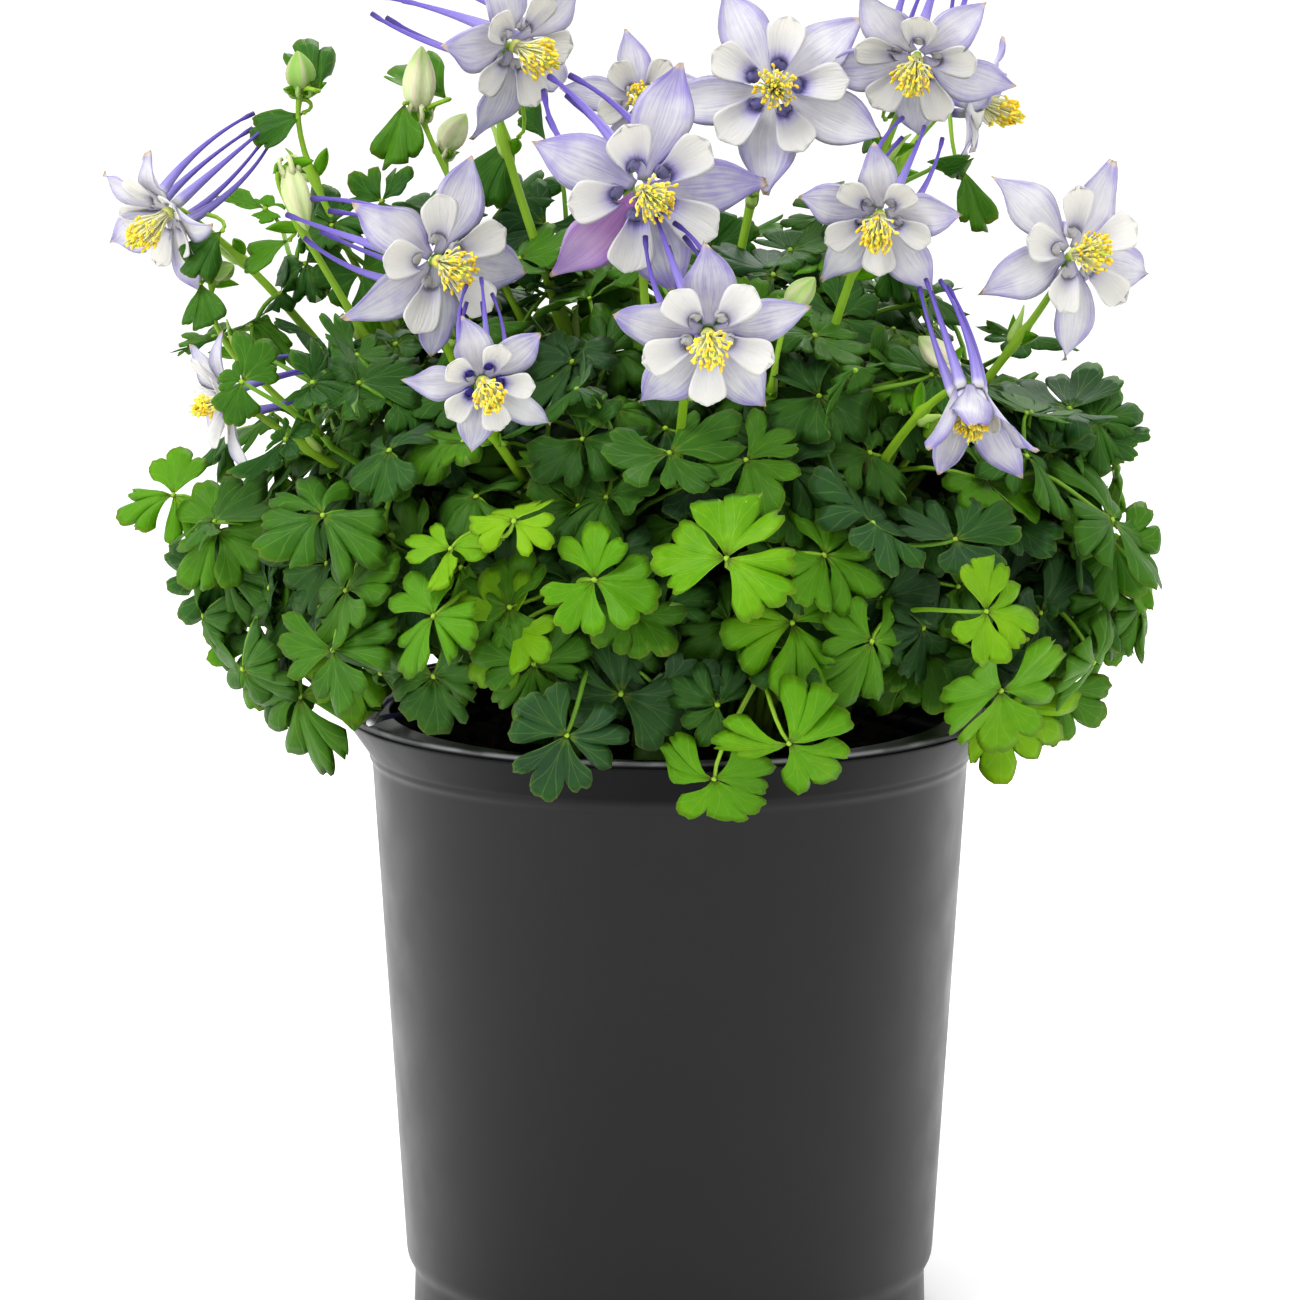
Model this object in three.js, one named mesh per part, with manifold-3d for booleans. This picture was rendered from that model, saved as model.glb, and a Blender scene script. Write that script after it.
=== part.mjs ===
// A columbine (Aquilegia) in flower, in a blow-moulded nursery pot.
// Millimetres, +Z up. The origin is the centre of the pot's flat underside, and the
// plant's front, where most of its blooms face, looks along -Y.
import * as THREE from 'three';
import { mergeVertices } from 'three/addons/utils/BufferGeometryUtils.js';
import Module from 'manifold-3d';

const wasm = await Module();
wasm.setup();

// ---- Driving dimensions -------------------------------------------------------------
// The pot: a rim with a bead and an inward ledge, above a band that flares, a slightly tapered
// body and an inset foot. bead is the width of the rim's bead, edge the size of its chamfers
// and lip the height of the rim's upright outer face.
const POT = { height: 168, rimRadius: 89, bandHeight: 15, lip: 2.4, bead: 2, edge: 0.8,
  ledge: 11, ledgeDrop: 1.8, neckRadius: 80.8, baseRadius: 72.3, footRadius: 70.4,
  footHeight: 11, shoulder: 3.5, draft: 0.3, wall: 1.6, floor: 2.4, sides: 32, holes: 4,
  holeRadius: 5.5, holeCircle: 52 };
const SOIL_TOP = 158;
const SOIL_CROWN = 58;            // the soil's top is flat to this radius, then falls to the wall
const GAP = 0.3;                  // between pieces that rest in or against each other
// A crown is the short stump from which a shoot's stalks rise, seated in a hole in the soil.
const CROWN = { radius: 7, circle: 34, height: 15, depth: 7 };
// The mound on which the leaves lie: an ellipsoid, flatter below its widest level.
const MOUND = { rx: 128, ry: 116, middle: 205, up: 92, down: 62 };
const BLADE = 1.3;                // thickness at a blade's middle
const STALK = { petiole: 1.15, petiolule: 0.8, stem: 1.7 };   // radii
const PETIOLE_STEPS = 3;
const FOOT_SPACING = 1.25;        // between stalks on a crown
// Where a leaf's stalk parts to its three sprays: below the mound's face, but not too low.
const JOINT = { depth: 14, lowest: 184 };
// Borders between the leafy shoots, as azimuths from the front, clockwise from above.
const BORDERS = [-33, 22, 54, 90, 131, 172, 213, 255, 298];
// The middle shoot fills a funnel above the others: radius at the soil, and its slope.
const FUNNEL = { radius: 15, slope: 0.42 };

const COLOUR = { pot: 0x26272a, soil: 0x3a2a1e, leaf: 0x3f7a32, sepal: 0xb7aee6,
  petal: 0xf3f1ea, stamen: 0xe8c53a, spur: 0x6f5cc4 };

// Blooms: centre, way that the face looks, size (reach of its sepals), turn about its own
// axis (degrees, clockwise from up, of its first sepal) and how far its sepals close (degrees).
const BLOOMS = [
  { at: [-40, -35, 347], face: [0.65, -0.7, -0.25], size: 26, turn: -20, closed: 5 },
  { at: [27, -32, 336], face: [0.02, -1, 0.1], size: 29, turn: -24, closed: 0 },
  { at: [64, -30, 343], face: [-0.15, -0.85, -0.45], size: 26, turn: -27, closed: 12 },
  { at: [82, 22, 329], face: [0.8, -0.2, -0.3], size: 20, turn: 0, closed: 25 },
  { at: [-133, -20, 302], face: [-0.62, -0.6, -0.5], size: 23, turn: -50, closed: 20 },
  { at: [-59, -75, 295], face: [0.5, -0.85, -0.1], size: 28, turn: -46, closed: 4 },
  { at: [-7, -85, 314], face: [0.3, -0.93, -0.15], size: 32, turn: 13, closed: 2 },
  { at: [-8, -12, 331], face: [0.1, -0.95, 0.2], size: 20, turn: 0, closed: 10 },
  { at: [-47, -108, 268], face: [0.2, -0.93, -0.25], size: 20, turn: -20, closed: 10 },
  { at: [9, -117, 281], face: [0.05, -0.93, -0.3], size: 26, turn: 0, closed: 4 },
  { at: [53, -72, 306], face: [-0.1, -0.9, -0.4], size: 23, turn: 0, closed: 14 },
  { at: [106, -35, 293], face: [0.45, -0.85, 0.15], size: 27, turn: -40, closed: 0 },
  { at: [75, -95, 263], face: [0.1, -0.4, -0.9], size: 23, turn: 0, closed: 48 },
  { at: [-117, -40, 255], face: [-0.75, -0.3, -0.2], size: 21, turn: -50, closed: 15 },
];
// Buds: middle, way that the tip points, half length and half width.
const BUDS = [
  { at: [-98, -12, 339], face: [-0.1, 0, 1], half: 5.5, wide: 4 },
  { at: [-66, -15, 337], face: [0.05, 0, 1], half: 9, wide: 4.4 },
  { at: [-97, -40, 308], face: [0.3, -0.2, -1], half: 9, wide: 3.6 },
  { at: [-58, 12, 321], face: [0.5, 0, 0.8], half: 6, wide: 4 },
  { at: [-118, -20, 287], face: [0.5, -0.4, 0.3], half: 4, wide: 2.6 },
  { at: [33, -75, 287], face: [0.5, -0.3, 0.6], half: 6, wide: 3.4 },
  { at: [68, -58, 270], face: [-0.6, -0.2, 0.6], half: 6, wide: 3.4 },
];
const FALLEN_SPUR = { from: [-79.5, -43, 169.7], over: [-74, -23, 168.9],
  to: [-69, -17, 166.9], thick: 1 };
// Small leaf sprays on the flower stems: the stem's bloom or bud, how far up it, the spray's
// place, its leaflets' length and the way that it points.
const STEM_SPRAYS = [
  [BUDS[0], 0.93, [-87, -14, 336], 9, 90], [BUDS[0], 0.78, [-108, -8, 318], 8, -90],
  [BUDS[1], 0.92, [-54, -18, 330], 10, 80], [BUDS[1], 0.85, [-76, -20, 326], 9, -60],
  [BLOOMS[4], 0.8, [-120, -26, 306], 9, 200], [BUDS[4], 0.8, [-126, -22, 280], 9, -20],
  [BUDS[2], 0.75, [-104, -30, 300], 11, 160], [BLOOMS[3], 0.8, [80, 0, 306], 11, 120],
  [BLOOMS[2], 0.82, [53, -8, 322], 10, 180], [BLOOMS[0], 0.85, [-38, -20, 318], 10, 30],
];

// Compound leaves of the front, three leaf sprays each. A spray is [azimuth, elevation]
// on the mound, its leaflets' length, and the way that its end leaflet points (0 hangs down).
const FRONT_LEAVES = [
  [[6, 12, 19, 160], [19, 13, 17, 60]],
  [[15, 1, 19, 20], [14, -24, 19, 40], [6, -44, 17, 10]],
  [[-13, -26, 17, -30], [-2, -27, 18, 15], [-17, -11, 15, -10]],
  [[-20, -1, 16, -40], [-8, -3, 17, 10], [-9, 9, 16, 70]],
  [[-18, 17, 12, 170], [-27, 13, 13, 10], [-28, 25, 16, -90]],
  [[-28, -8, 15, -30], [-23, -19, 15, 10], [-30, 3, 15, -60]],
  [[-9, 26, 17, -20], [1, 34, 17, 30], [-18, 46, 17, -60]],
  [[10, 31, 16, 20], [17, 24, 17, 60], [16, 40, 17, 90]],
  [[26, 19, 18, -120], [29, 8, 15, 10], [38, 14, 17, 100]],
  [[37, 2, 15, 80], [35, -14, 15, 10], [26, -13, 16, -20]],
  [[46, -22, 20, 10], [46, 6, 17, 40]],
  [[32, 41, 19, -60], [30, 57, 17, 20], [47, 45, 17, 90]],
  [[67, 12, 20, 20], [66, 38, 17, 100], [57, 27, 17, 10]],
  [[60, -9, 18, 20], [72, -5, 16, 30], [64, -24, 15, 10]],
  [[82, -8, 17, 30], [81, 8, 16, 90], [77, 25, 17, 60]],
  [[-46, 16, 18, -25], [-44, 4, 17, 15], [-42, 30, 17, -80]],
  [[-53, 2, 16, -20], [-54, -12, 16, 10], [-45, -21, 17, 10]],
  [[-57, 28, 19, -30], [-50, 42, 18, -90], [-40, 51, 14, 70]],
  [[-74, 13, 17, -60], [-78, 1, 17, -10], [-89, 14, 16, -80]],
  [[-71, 35, 16, -40], [-86, 31, 16, -60], [-98, 22, 16, -30]],
  [[-70, -6, 16, -10], [-68, -20, 15, 10], [-84, -11, 15, -20]],
];
// The back's shoots each hold a column of compound leaves, at these elevations.
const BACK_ROWS = [-24, 9, 40];
// The middle shoot's leaves lie in rings of [elevation, leaves in the ring].
const TOP_RINGS = [[63, 5], [88, 1]];
const LAYERS = [0, 8, 16, 24];    // depths at which sprays overlap without crossing
const SPRAY_OFFSET = 25;          // from a compound leaf's middle to each of its sprays

// ---- Small vector helpers -----------------------------------------------------------
const V = (x, y, z) => new THREE.Vector3(x, y, z);
const rad = THREE.MathUtils.degToRad;
const UP = V(0, 0, 1);
let seed = 4211;
function random() {
  seed = (seed * 16807) % 2147483647;
  return seed / 2147483647;
}
const spread = (amount) => (random() * 2 - 1) * amount;

// ---- Solids -------------------------------------------------------------------------
const SLIVER = 0.25;              // features smaller than this are merged away
function solid(geometry, tolerance = 1e-4) {
  const bare = geometry.clone();
  bare.deleteAttribute('normal');
  bare.deleteAttribute('uv');
  const merged = mergeVertices(bare, tolerance);
  return new wasm.Manifold(new wasm.Mesh({ numProp: 3,
    vertProperties: merged.attributes.position.array,
    triVerts: new Uint32Array(merged.index.array) }));
}

// Joins solids that grow together. Slivers where they meet are merged away, and what a
// meeting seals off inside is filled, by keeping only the outer surface.
function joined(solids) {
  let body = wasm.Manifold.union(solids);
  for (let pass = 0; pass < 2; pass++) {
    const shells = body.simplify(SLIVER).decompose();
    const outer = shells.reduce((a, b) => (b.volume() > a.volume() ? b : a));
    body = solid(parted(geometryOf(outer)));
  }
  return body;
}

// Moves corners that only touch each other apart, each a little into its own neighbourhood.
function parted(geometry) {
  const at = geometry.attributes.position;
  const corner = (i) => new THREE.Vector3().fromBufferAttribute(at, i);
  const around = Array.from({ length: at.count }, () => []);
  const index = geometry.index.array;
  index.forEach((a, i) => around[a].push(index[i % 3 === 2 ? i - 2 : i + 1]));
  const places = new Map();
  for (let i = 0; i < at.count; i++) {
    const place = corner(i).multiplyScalar(100).round().toArray().join();
    places.set(place, [...(places.get(place) ?? []), i]);
  }
  for (const touching of [...places.values()].filter((list) => list.length > 1)) {
    for (const i of touching) {
      const centre = around[i].reduce((sum, j) => sum.add(corner(j)), V(0, 0, 0))
        .divideScalar(around[i].length);
      at.setXYZ(i, ...corner(i).lerp(centre, 0.03).toArray());
    }
  }
  return geometry;
}

function geometryOf(body) {
  const mesh = body.getMesh();
  const geometry = new THREE.BufferGeometry();
  geometry.setAttribute('position', new THREE.BufferAttribute(mesh.vertProperties, 3));
  geometry.setIndex(new THREE.BufferAttribute(mesh.triVerts, 1));
  return geometry;
}

// A closed solid from its points and its triangles, which face out.
function shell(points, triangles) {
  const geometry = new THREE.BufferGeometry().setFromPoints(points);
  geometry.setIndex(triangles);
  return solid(geometry);
}

// A tapered stalk along a curve: radius(t) from start to end, its steps spaced by ease(t).
const SIDEWAYS = V(0.31, 0.94, 0.12);
function stalk(curve, steps, radius, place = (p) => p, ease = (t) => t) {
  const tube = new THREE.CylinderGeometry(1, 1, 1, 3, steps, false);
  tube.rotateX(Math.PI / 2);
  const at = tube.attributes.position;
  for (let i = 0; i < at.count; i++) {
    const t = Math.round((at.getZ(i) + 0.5) * steps) / steps;
    const along = curve.getTangentAt(ease(t));
    const across = SIDEWAYS.clone().cross(along).setLength(radius(t));
    const point = curve.getPointAt(ease(t)).addScaledVector(across, at.getX(i))
      .addScaledVector(along.cross(across), at.getY(i));
    at.setXYZ(i, ...place(point).toArray());
  }
  return solid(tube);
}

const bezier = (a, b, c, d) => new THREE.CubicBezierCurve3(a, b, c, d);
const GOLDEN_ANGLE = 137.5;

// ---- The mound and what keeps clear of what -------------------------------------------
function onMound(azimuth, elevation, layer = 1) {
  const e = rad(elevation);
  const k = Math.cos(e) ** 0.8;
  const rise = e > 0 ? MOUND.up : MOUND.down;
  return V(MOUND.rx * k * Math.sin(rad(azimuth)) * layer,
    -MOUND.ry * k * Math.cos(rad(azimuth)) * layer,
    MOUND.middle + rise * Math.sin(e) * layer);
}

function moundNormal(p) {
  const rise = p.z > MOUND.middle ? MOUND.up : MOUND.down;
  return V(p.x / MOUND.rx ** 2, p.y / MOUND.ry ** 2, (p.z - MOUND.middle) / rise ** 2).normalize();
}

// Each bloom keeps two round spaces free of leaves: one for its face, one for its spurs.
const ROOM = BLOOMS.flatMap((bloom) => {
  const face = V(...bloom.face).normalize();
  const at = V(...bloom.at);
  return [[at.clone().addScaledVector(face, 3), bloom.size * 0.98],
    [at.clone().addScaledVector(face, -21), bloom.size * 0.72]];
});

// Bends a point out of every bloom's room, softly, from 1.7 radii out.
function clearOfBlooms(p) {
  for (let pass = 0; pass < 3; pass++) {
    for (const [centre, radius] of ROOM) {
      const away = p.clone().sub(centre);
      const reach = radius * 1.7;
      const d = away.length();
      if (d < reach) p = centre.clone().addScaledVector(away, (radius + d * (reach - radius) / reach) / d);
    }
  }
  return p;
}

// Leaves by the pot's rim bend over it or hang outside it, whichever is nearer.
const RIM_ROOM = { inside: 68.5, radius: 93.5, top: 172.5, give: 0.12 };
function clearOfRim(p) {
  const r = Math.hypot(p.x, p.y);
  const out = RIM_ROOM.radius - r;
  const below = RIM_ROOM.top - p.z;
  if (out < 0 || below < 0 || r < RIM_ROOM.inside) return p;
  if (below < out) return V(p.x, p.y, RIM_ROOM.top - below * RIM_ROOM.give);
  const scale = (RIM_ROOM.radius - out * RIM_ROOM.give) / r;
  return V(p.x * scale, p.y * scale, p.z);
}

const MARGIN = 6;                 // a leaf bends this near its shoot's border
function softened(d) {
  return d > MARGIN ? d : GAP + (MARGIN - GAP) * Math.exp((d - MARGIN) / (MARGIN - GAP));
}

// How far a point lies outside the middle shoot's funnel, and the way out of it.
function funnel(p) {
  const r = Math.hypot(p.x, p.y);
  const lean = Math.hypot(1, FUNNEL.slope);
  const out = V(p.x / r, p.y / r, -FUNNEL.slope).divideScalar(lean);
  return [(r - FUNNEL.radius - FUNNEL.slope * (p.z - SOIL_TOP)) / lean, out];
}

// Bends a point so that it stays in its own shoot's room: inside the funnel for the middle
// shoot, and outside it between two upright borders for the others.
function insideShoot(shoot, p) {
  const point = p.clone();
  for (let pass = 0; pass < 8; pass++) {
    const [d, out] = funnel(point);
    if (!shoot.walls) {
      point.addScaledVector(out, -(softened(-d) + d));
      continue;
    }
    point.addScaledVector(out, softened(d - GAP) + GAP - d);
    for (const inward of shoot.walls) {
      const inside = point.dot(inward);
      point.addScaledVector(inward, softened(inside) - inside);
    }
  }
  return point;
}

// The outer shoots, each with its borders' walls (as normals that face in) and its crown.
const OUTER = BORDERS.map((from, i) => {
  const to = i + 1 < BORDERS.length ? BORDERS[i + 1] : BORDERS[0] + 360;
  const middle = (from + to) / 2;
  const walls = [V(Math.cos(rad(from)), Math.sin(rad(from)), 0),
    V(-Math.cos(rad(to)), -Math.sin(rad(to)), 0)];
  const crown = V(Math.sin(rad(middle)), -Math.cos(rad(middle)), 0).multiplyScalar(CROWN.circle);
  return { from, middle, walls, crown: crown.setZ(SOIL_TOP) };
});

const MIDDLE = { crown: V(0, 0, SOIL_TOP) };
const SHOOTS = [...OUTER, MIDDLE];

function shootAt(p) {
  let azimuth = THREE.MathUtils.radToDeg(Math.atan2(p.x, -p.y));
  if (azimuth < BORDERS[0]) azimuth += 360;
  return funnel(p)[0] < 0 ? MIDDLE : OUTER.findLast((shoot) => azimuth >= shoot.from);
}

// ---- Leaves ---------------------------------------------------------------------------
// One leaflet's outline after the notch beside it, as [along, across] in leaflet lengths.
const LEAFLET = [[0.7, -0.62], [0.7, -0.22], [1, -0.26], [1, 0.26], [0.7, 0.22], [0.7, 0.62]];
const LEAFLET_TURNS = [-112, 0, 112];
const NOTCH = 0.13;               // how near the hub the cuts between leaflets reach
const ARCH = 0.16;                // how far a leaflet's tip hangs, in its lengths
const TO_LIGHT = 0.3;             // how much blades lean up from the mound's face
const SCATTER = 0.14;             // how much a blade's lean varies

// A leaf spray: three lobed leaflets cut to the rib in one thin arched blade, on a stalk
// that runs from the cut behind the hub to the leaf's own stalk. place() moves the blade.
function spray({ hub, along, across, normal }, length, start, place) {
  const point = (x, y, z) => place(hub.clone().addScaledVector(across, x)
    .addScaledVector(along, y).addScaledVector(normal, z));
  const put = (turn, reach, aside, lift = 0) => point(
    length * (reach * Math.sin(rad(turn)) + aside * Math.cos(rad(turn))),
    length * (reach * Math.cos(rad(turn)) - aside * Math.sin(rad(turn))),
    lift - ARCH * length * reach * reach);
  const outline = LEAFLET_TURNS.flatMap((turn) => [
    ...LEAFLET.map(([reach, aside]) => put(turn, reach, aside)),
    ...(turn < LEAFLET_TURNS[2] ? [put(turn + LEAFLET_TURNS[2] / 2, NOTCH, 0)] : [])]);
  outline.push(point(STALK.petiolule, -NOTCH * length, 0), point(-STALK.petiolule, -NOTCH * length, 0));
  const n = outline.length;
  const way = start.clone().sub(point(0, 0, 0)).normalize();
  const ahead = along.clone().addScaledVector(way, -along.dot(way)).setLength(STALK.petiolule);
  const aside = way.clone().cross(ahead);
  const points = [...outline, put(0, 0, 0, BLADE / 2), put(0, 0, 0, -BLADE / 2),
    start.clone().addScaledVector(ahead, -0.5).addScaledVector(aside, 0.9),
    start.clone().addScaledVector(ahead, -0.5).addScaledVector(aside, -0.9),
    start.clone().add(ahead)];
  const [right, left, top, bottom] = [n - 2, n - 1, n, n + 1];
  const [endRight, endLeft, endAhead] = [n + 2, n + 3, n + 4];
  const triangles = outline.flatMap((_, i) => {
    const next = (i + 1) % n;
    return i === right ? [top, next, i] : [top, next, i, bottom, i, next];
  });
  triangles.push(right, left, endLeft, right, endLeft, endRight, bottom, right, endRight,
    bottom, endRight, endAhead, left, bottom, endAhead, left, endAhead, endLeft,
    endLeft, endAhead, endRight);
  return shell(points, triangles);
}

// The frame of a spray at a hub: its blade leans from the mound's face towards the light.
function sprayFrame(hub, turn) {
  const outward = moundNormal(hub);
  const flat = Math.hypot(outward.x, outward.y);
  const radial = V(outward.x, outward.y, 0).divideScalar(flat || 1);
  const down = radial.clone().multiplyScalar(outward.z).addScaledVector(UP, -flat);
  const side = outward.clone().cross(down);
  const along = down.multiplyScalar(Math.cos(rad(turn))).addScaledVector(side, Math.sin(rad(turn)));
  const normal = outward.clone().addScaledVector(UP, TO_LIGHT)
    .add(V(spread(SCATTER), spread(SCATTER), spread(SCATTER))).normalize();
  along.addScaledVector(normal, -along.dot(normal)).normalize();
  return { hub, normal, along, across: along.clone().cross(normal) };
}

// A compound leaf at a place on the mound: an end spray and two side sprays round its middle.
function leafAt(azimuth, elevation, turn) {
  const middle = onMound(azimuth, elevation);
  return [0, 125, -125].map((swing) => {
    const { along } = sprayFrame(middle, turn + swing);
    const hub = middle.clone().addScaledVector(along, SPRAY_OFFSET + spread(3));
    hub.z -= MOUND.middle;
    const rise = hub.z > 0 ? MOUND.up : MOUND.down;
    hub.divideScalar(Math.hypot(hub.x / MOUND.rx, hub.y / MOUND.ry, hub.z / rise));
    hub.z += MOUND.middle;
    return { frame: sprayFrame(hub, turn + swing + spread(25)), length: 18 + spread(2) };
  });
}

function compoundLeaves() {
  const front = FRONT_LEAVES.map((sprays) => sprays.map(([azimuth, elevation, length, turn]) => {
    const layer = elevation < -30 ? 1.1 : 1;
    return { frame: sprayFrame(onMound(azimuth, elevation, layer), turn), length };
  }));
  const hubs = front.flat().map((spray) => spray.frame.hub);
  const back = OUTER.filter(({ middle }) => middle > 90 && middle < 260).flatMap(({ middle }) => (
    BACK_ROWS.map((elevation) => leafAt(middle + spread(3), elevation + spread(3), spread(50)))));
  const top = TOP_RINGS.flatMap(([elevation, count]) => Array.from({ length: count },
    (_, i) => leafAt(360 * i / count + spread(6), elevation, spread(60))));
  const free = ({ frame: { hub } }) => hub.z > POT.height
    && hubs.every((other) => other.distanceTo(hub) > SPRAY_OFFSET - 1)
    && ROOM.every(([middle, radius]) => middle.distanceTo(hub) > radius * 0.9);
  const hidden = [...back, ...top].map((leaf) => leaf.filter(free));
  const leaves = [...front, ...hidden];
  layer(leaves.flat());
  return leaves.filter((leaf) => leaf.length);
}

// Sinks each spray below its placed neighbours, to the layer where it crosses the fewest.
function layer(sprays) {
  sprays.forEach((spray, i) => {
    const depths = LAYERS.map((depth) => {
      const crossed = sprays.slice(0, i).filter((other) => other.depth === depth)
        .map((other) => 1 - other.seat.distanceTo(spray.frame.hub) / (other.length + spray.length));
      return crossed.filter((share) => share > 0).reduce((sum, share) => sum + share, 0);
    });
    spray.seat = spray.frame.hub.clone();
    spray.depth = LAYERS[depths.indexOf(Math.min(...depths))];
    spray.frame.hub.addScaledVector(moundNormal(spray.seat), -spray.depth);
  });
}

// ---- Flower stems, buds and blooms ------------------------------------------------------
const STEM_STEPS = 5;
const BLOOM_BACK = 3.2;           // from a bloom's centre to its back, where the stem ends
const BLADE_ROOM = 32;            // degrees that a petal or sepal takes to each side of its middle

// Spaces a stem's steps closer together towards its bloom, where it bends most.
const towardsBloom = (t) => 1 - (1 - t) ** 1.8;

// A bloom's frame: face looks out of it, and up and right are as its beholder sees them.
function bloomFrame(bloom) {
  const face = V(...bloom.face).normalize();
  const up = UP.clone().addScaledVector(face, -face.z).normalize();
  return { at: V(...bloom.at), face, up, right: up.clone().cross(face) };
}

// A point of a bloom, from its angle about the face, its reach and its height.
function bloomPoint({ at, face, up, right }, angle, reach, height, aside = 0) {
  const cos = Math.cos(rad(angle));
  const sin = Math.sin(rad(angle));
  return at.clone().addScaledVector(up, reach * cos - aside * sin)
    .addScaledVector(right, reach * sin + aside * cos).addScaledVector(face, height);
}

// Five blades in one star, from one blade's outline as [reach, across] in bloom sizes. The
// blades rise by an angle, and the star's middle lies between two heights. Steep blades are
// narrower at the foot, so that none reaches its neighbour, 36 degrees away.
function star(frame, size, turn, outline, notch, rise, low, high) {
  const middle = (low + high) / 2;
  const at = (angle, reach, across) => {
    const out = reach * Math.cos(rad(rise));
    const room = out * Math.tan(rad(BLADE_ROOM));
    return bloomPoint(frame, angle, size * out, middle + size * reach * Math.sin(rad(rise)),
      size * THREE.MathUtils.clamp(across, -room, room));
  };
  const points = [0, 1, 2, 3, 4].flatMap((k) => [
    ...outline.map(([reach, across]) => at(turn + 72 * k, reach, across)),
    at(turn + 72 * k + 36, notch, 0)]);
  const n = points.length;
  points.push(bloomPoint(frame, 0, 0, low), bloomPoint(frame, 0, 0, high));
  return shell(points, Array.from({ length: n }, (_, i) => {
    const next = (i + 1) % n;
    return [n, i, next, n + 1, next, i];
  }).flat());
}

const SEPAL = [[0.42, -0.22], [0.72, -0.2], [1, 0], [0.72, 0.2], [0.42, 0.22]];
const PETAL = [[0.36, -0.19], [0.55, -0.14], [0.55, 0.14], [0.36, 0.19]];
// A spur's foot, reach, length and thickness, in bloom sizes.
const SPUR = { steps: 2, foot: 0.175, reach: 0.37, length: 1.25, thick: 0.056, thin: 0.02 };
const PETAL_RISE = 24;            // degrees that the petals rise from an open bloom's sepals
// The heart of a bloom: heights of the petals' middle, and the tuft's length and width.
const HEART = { low: GAP, high: 1.9, tuft: 9.5, wide: 0.18, levels: 3, columns: 8 };
const petalRise = ({ closed }) => PETAL_RISE + 0.8 * closed;

// The sepals in one star with the five spurs, which pass back between them.
function sepalsAndSpurs(bloom, frame) {
  const { size, turn, closed } = bloom;
  const spurs = [0, 1, 2, 3, 4].map((k) => {
    const angle = turn + 36 + 72 * k;
    const at = (reach, back) => bloomPoint(frame, angle, size * reach, -size * back);
    const depth = BLOOM_BACK / (2 * size) - SPUR.foot * Math.sin(rad(closed));
    const curve = bezier(at(SPUR.foot, depth), at(SPUR.reach, 0.45), at(SPUR.reach, 0.9),
      at(SPUR.foot, SPUR.length));
    const radius = (t) => size * THREE.MathUtils.lerp(SPUR.thick, SPUR.thin, Math.sqrt(t));
    return stalk(curve, SPUR.steps, radius);
  });
  return joined([star(frame, size, turn, SEPAL, 0.16, closed, -BLOOM_BACK, 0), ...spurs]);
}

function petals(bloom, frame) {
  const rise = petalRise(bloom);
  return star(frame, bloom.size, bloom.turn + 36, PETAL, 0.12, rise, HEART.low, HEART.high);
}

// The tuft of stamens: a small egg whose alternate points stand out.
function stamens(bloom, frame) {
  const { high, tuft, wide, levels, columns } = HEART;
  const egg = new THREE.SphereGeometry(1, columns, levels);
  const at = egg.attributes.position;
  const radius = Math.min(wide * bloom.size, (high + 0.8) / Math.tan(rad(petalRise(bloom))));
  const long = tuft + 0.08 * bloom.closed;
  for (let i = 0; i < at.count; i++) {
    const level = Math.round(levels * Math.acos(THREE.MathUtils.clamp(at.getY(i), -1, 1)) / Math.PI);
    const column = Math.round(columns * Math.atan2(at.getZ(i), at.getX(i)) / (2 * Math.PI));
    const stands = (column + level) % 2 ? 1.2 : 0.75;
    const reach = Math.hypot(at.getX(i), at.getZ(i)) * radius * stands;
    const height = high + 0.5 + long * (1 - level / levels);
    at.setXYZ(i, ...bloomPoint(frame, column * 360 / columns, reach, height).toArray());
  }
  return solid(egg);
}

// A flower stem curves from its shoot's crown to the back of its bloom or the foot of its bud.
// It passes between the two spurs nearest to its way down, behind a sepal.
function flowerStem(shoot, frame, turn, back) {
  const end = frame.at.clone().addScaledVector(frame.face, -back);
  const foot = footOn(shoot);
  const between = turn + 72 * Math.round((180 - turn) / 72);
  const aside = bloomPoint(frame, between, 13, -back - 17);
  const bend = aside.add(V(0, 0, -9));
  const rise = foot.clone().lerp(end, 0.4).add(V(0, 0, 30));
  return bezier(foot, rise, bend, end);
}

function bud({ half, wide }, frame) {
  const shape = new THREE.SphereGeometry(1, 5, 4);
  const at = shape.attributes.position;
  for (let i = 0; i < at.count; i++) {
    const angle = THREE.MathUtils.radToDeg(Math.atan2(at.getZ(i), at.getX(i)));
    const reach = Math.hypot(at.getX(i), at.getZ(i)) * wide;
    at.setXYZ(i, ...bloomPoint(frame, -angle, reach, at.getY(i) * half).toArray());
  }
  return solid(shape);
}

// The stem of a bloom or bud, with its small leaf sprays.
function growStem(flower) {
  const frame = bloomFrame(flower);
  const shoot = shootAt(frame.at);
  const back = flower.half ? flower.half - 1 : BLOOM_BACK + GAP;
  const curve = flowerStem(shoot, frame, flower.turn ?? 0, back);
  const thick = flower.half ? STALK.stem * 0.8 : STALK.stem;
  const solids = [stalk(curve, STEM_STEPS, (t) => thick * (1 - 0.6 * t), undefined, towardsBloom)];
  if (flower.half) solids.push(bud(flower, frame));
  for (const [owner, t, at, length, turn] of STEM_SPRAYS) {
    if (owner !== flower) continue;
    const step = Math.floor(t * STEM_STEPS);
    const start = curve.getPointAt(towardsBloom(step / STEM_STEPS))
      .lerp(curve.getPointAt(towardsBloom((step + 1) / STEM_STEPS)), t * STEM_STEPS - step);
    solids.push(spray(sprayFrame(V(...at), turn), length, start, (p) => p));
  }
  growth.get(shoot).push(wasm.Manifold.union(solids));
}

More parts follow.
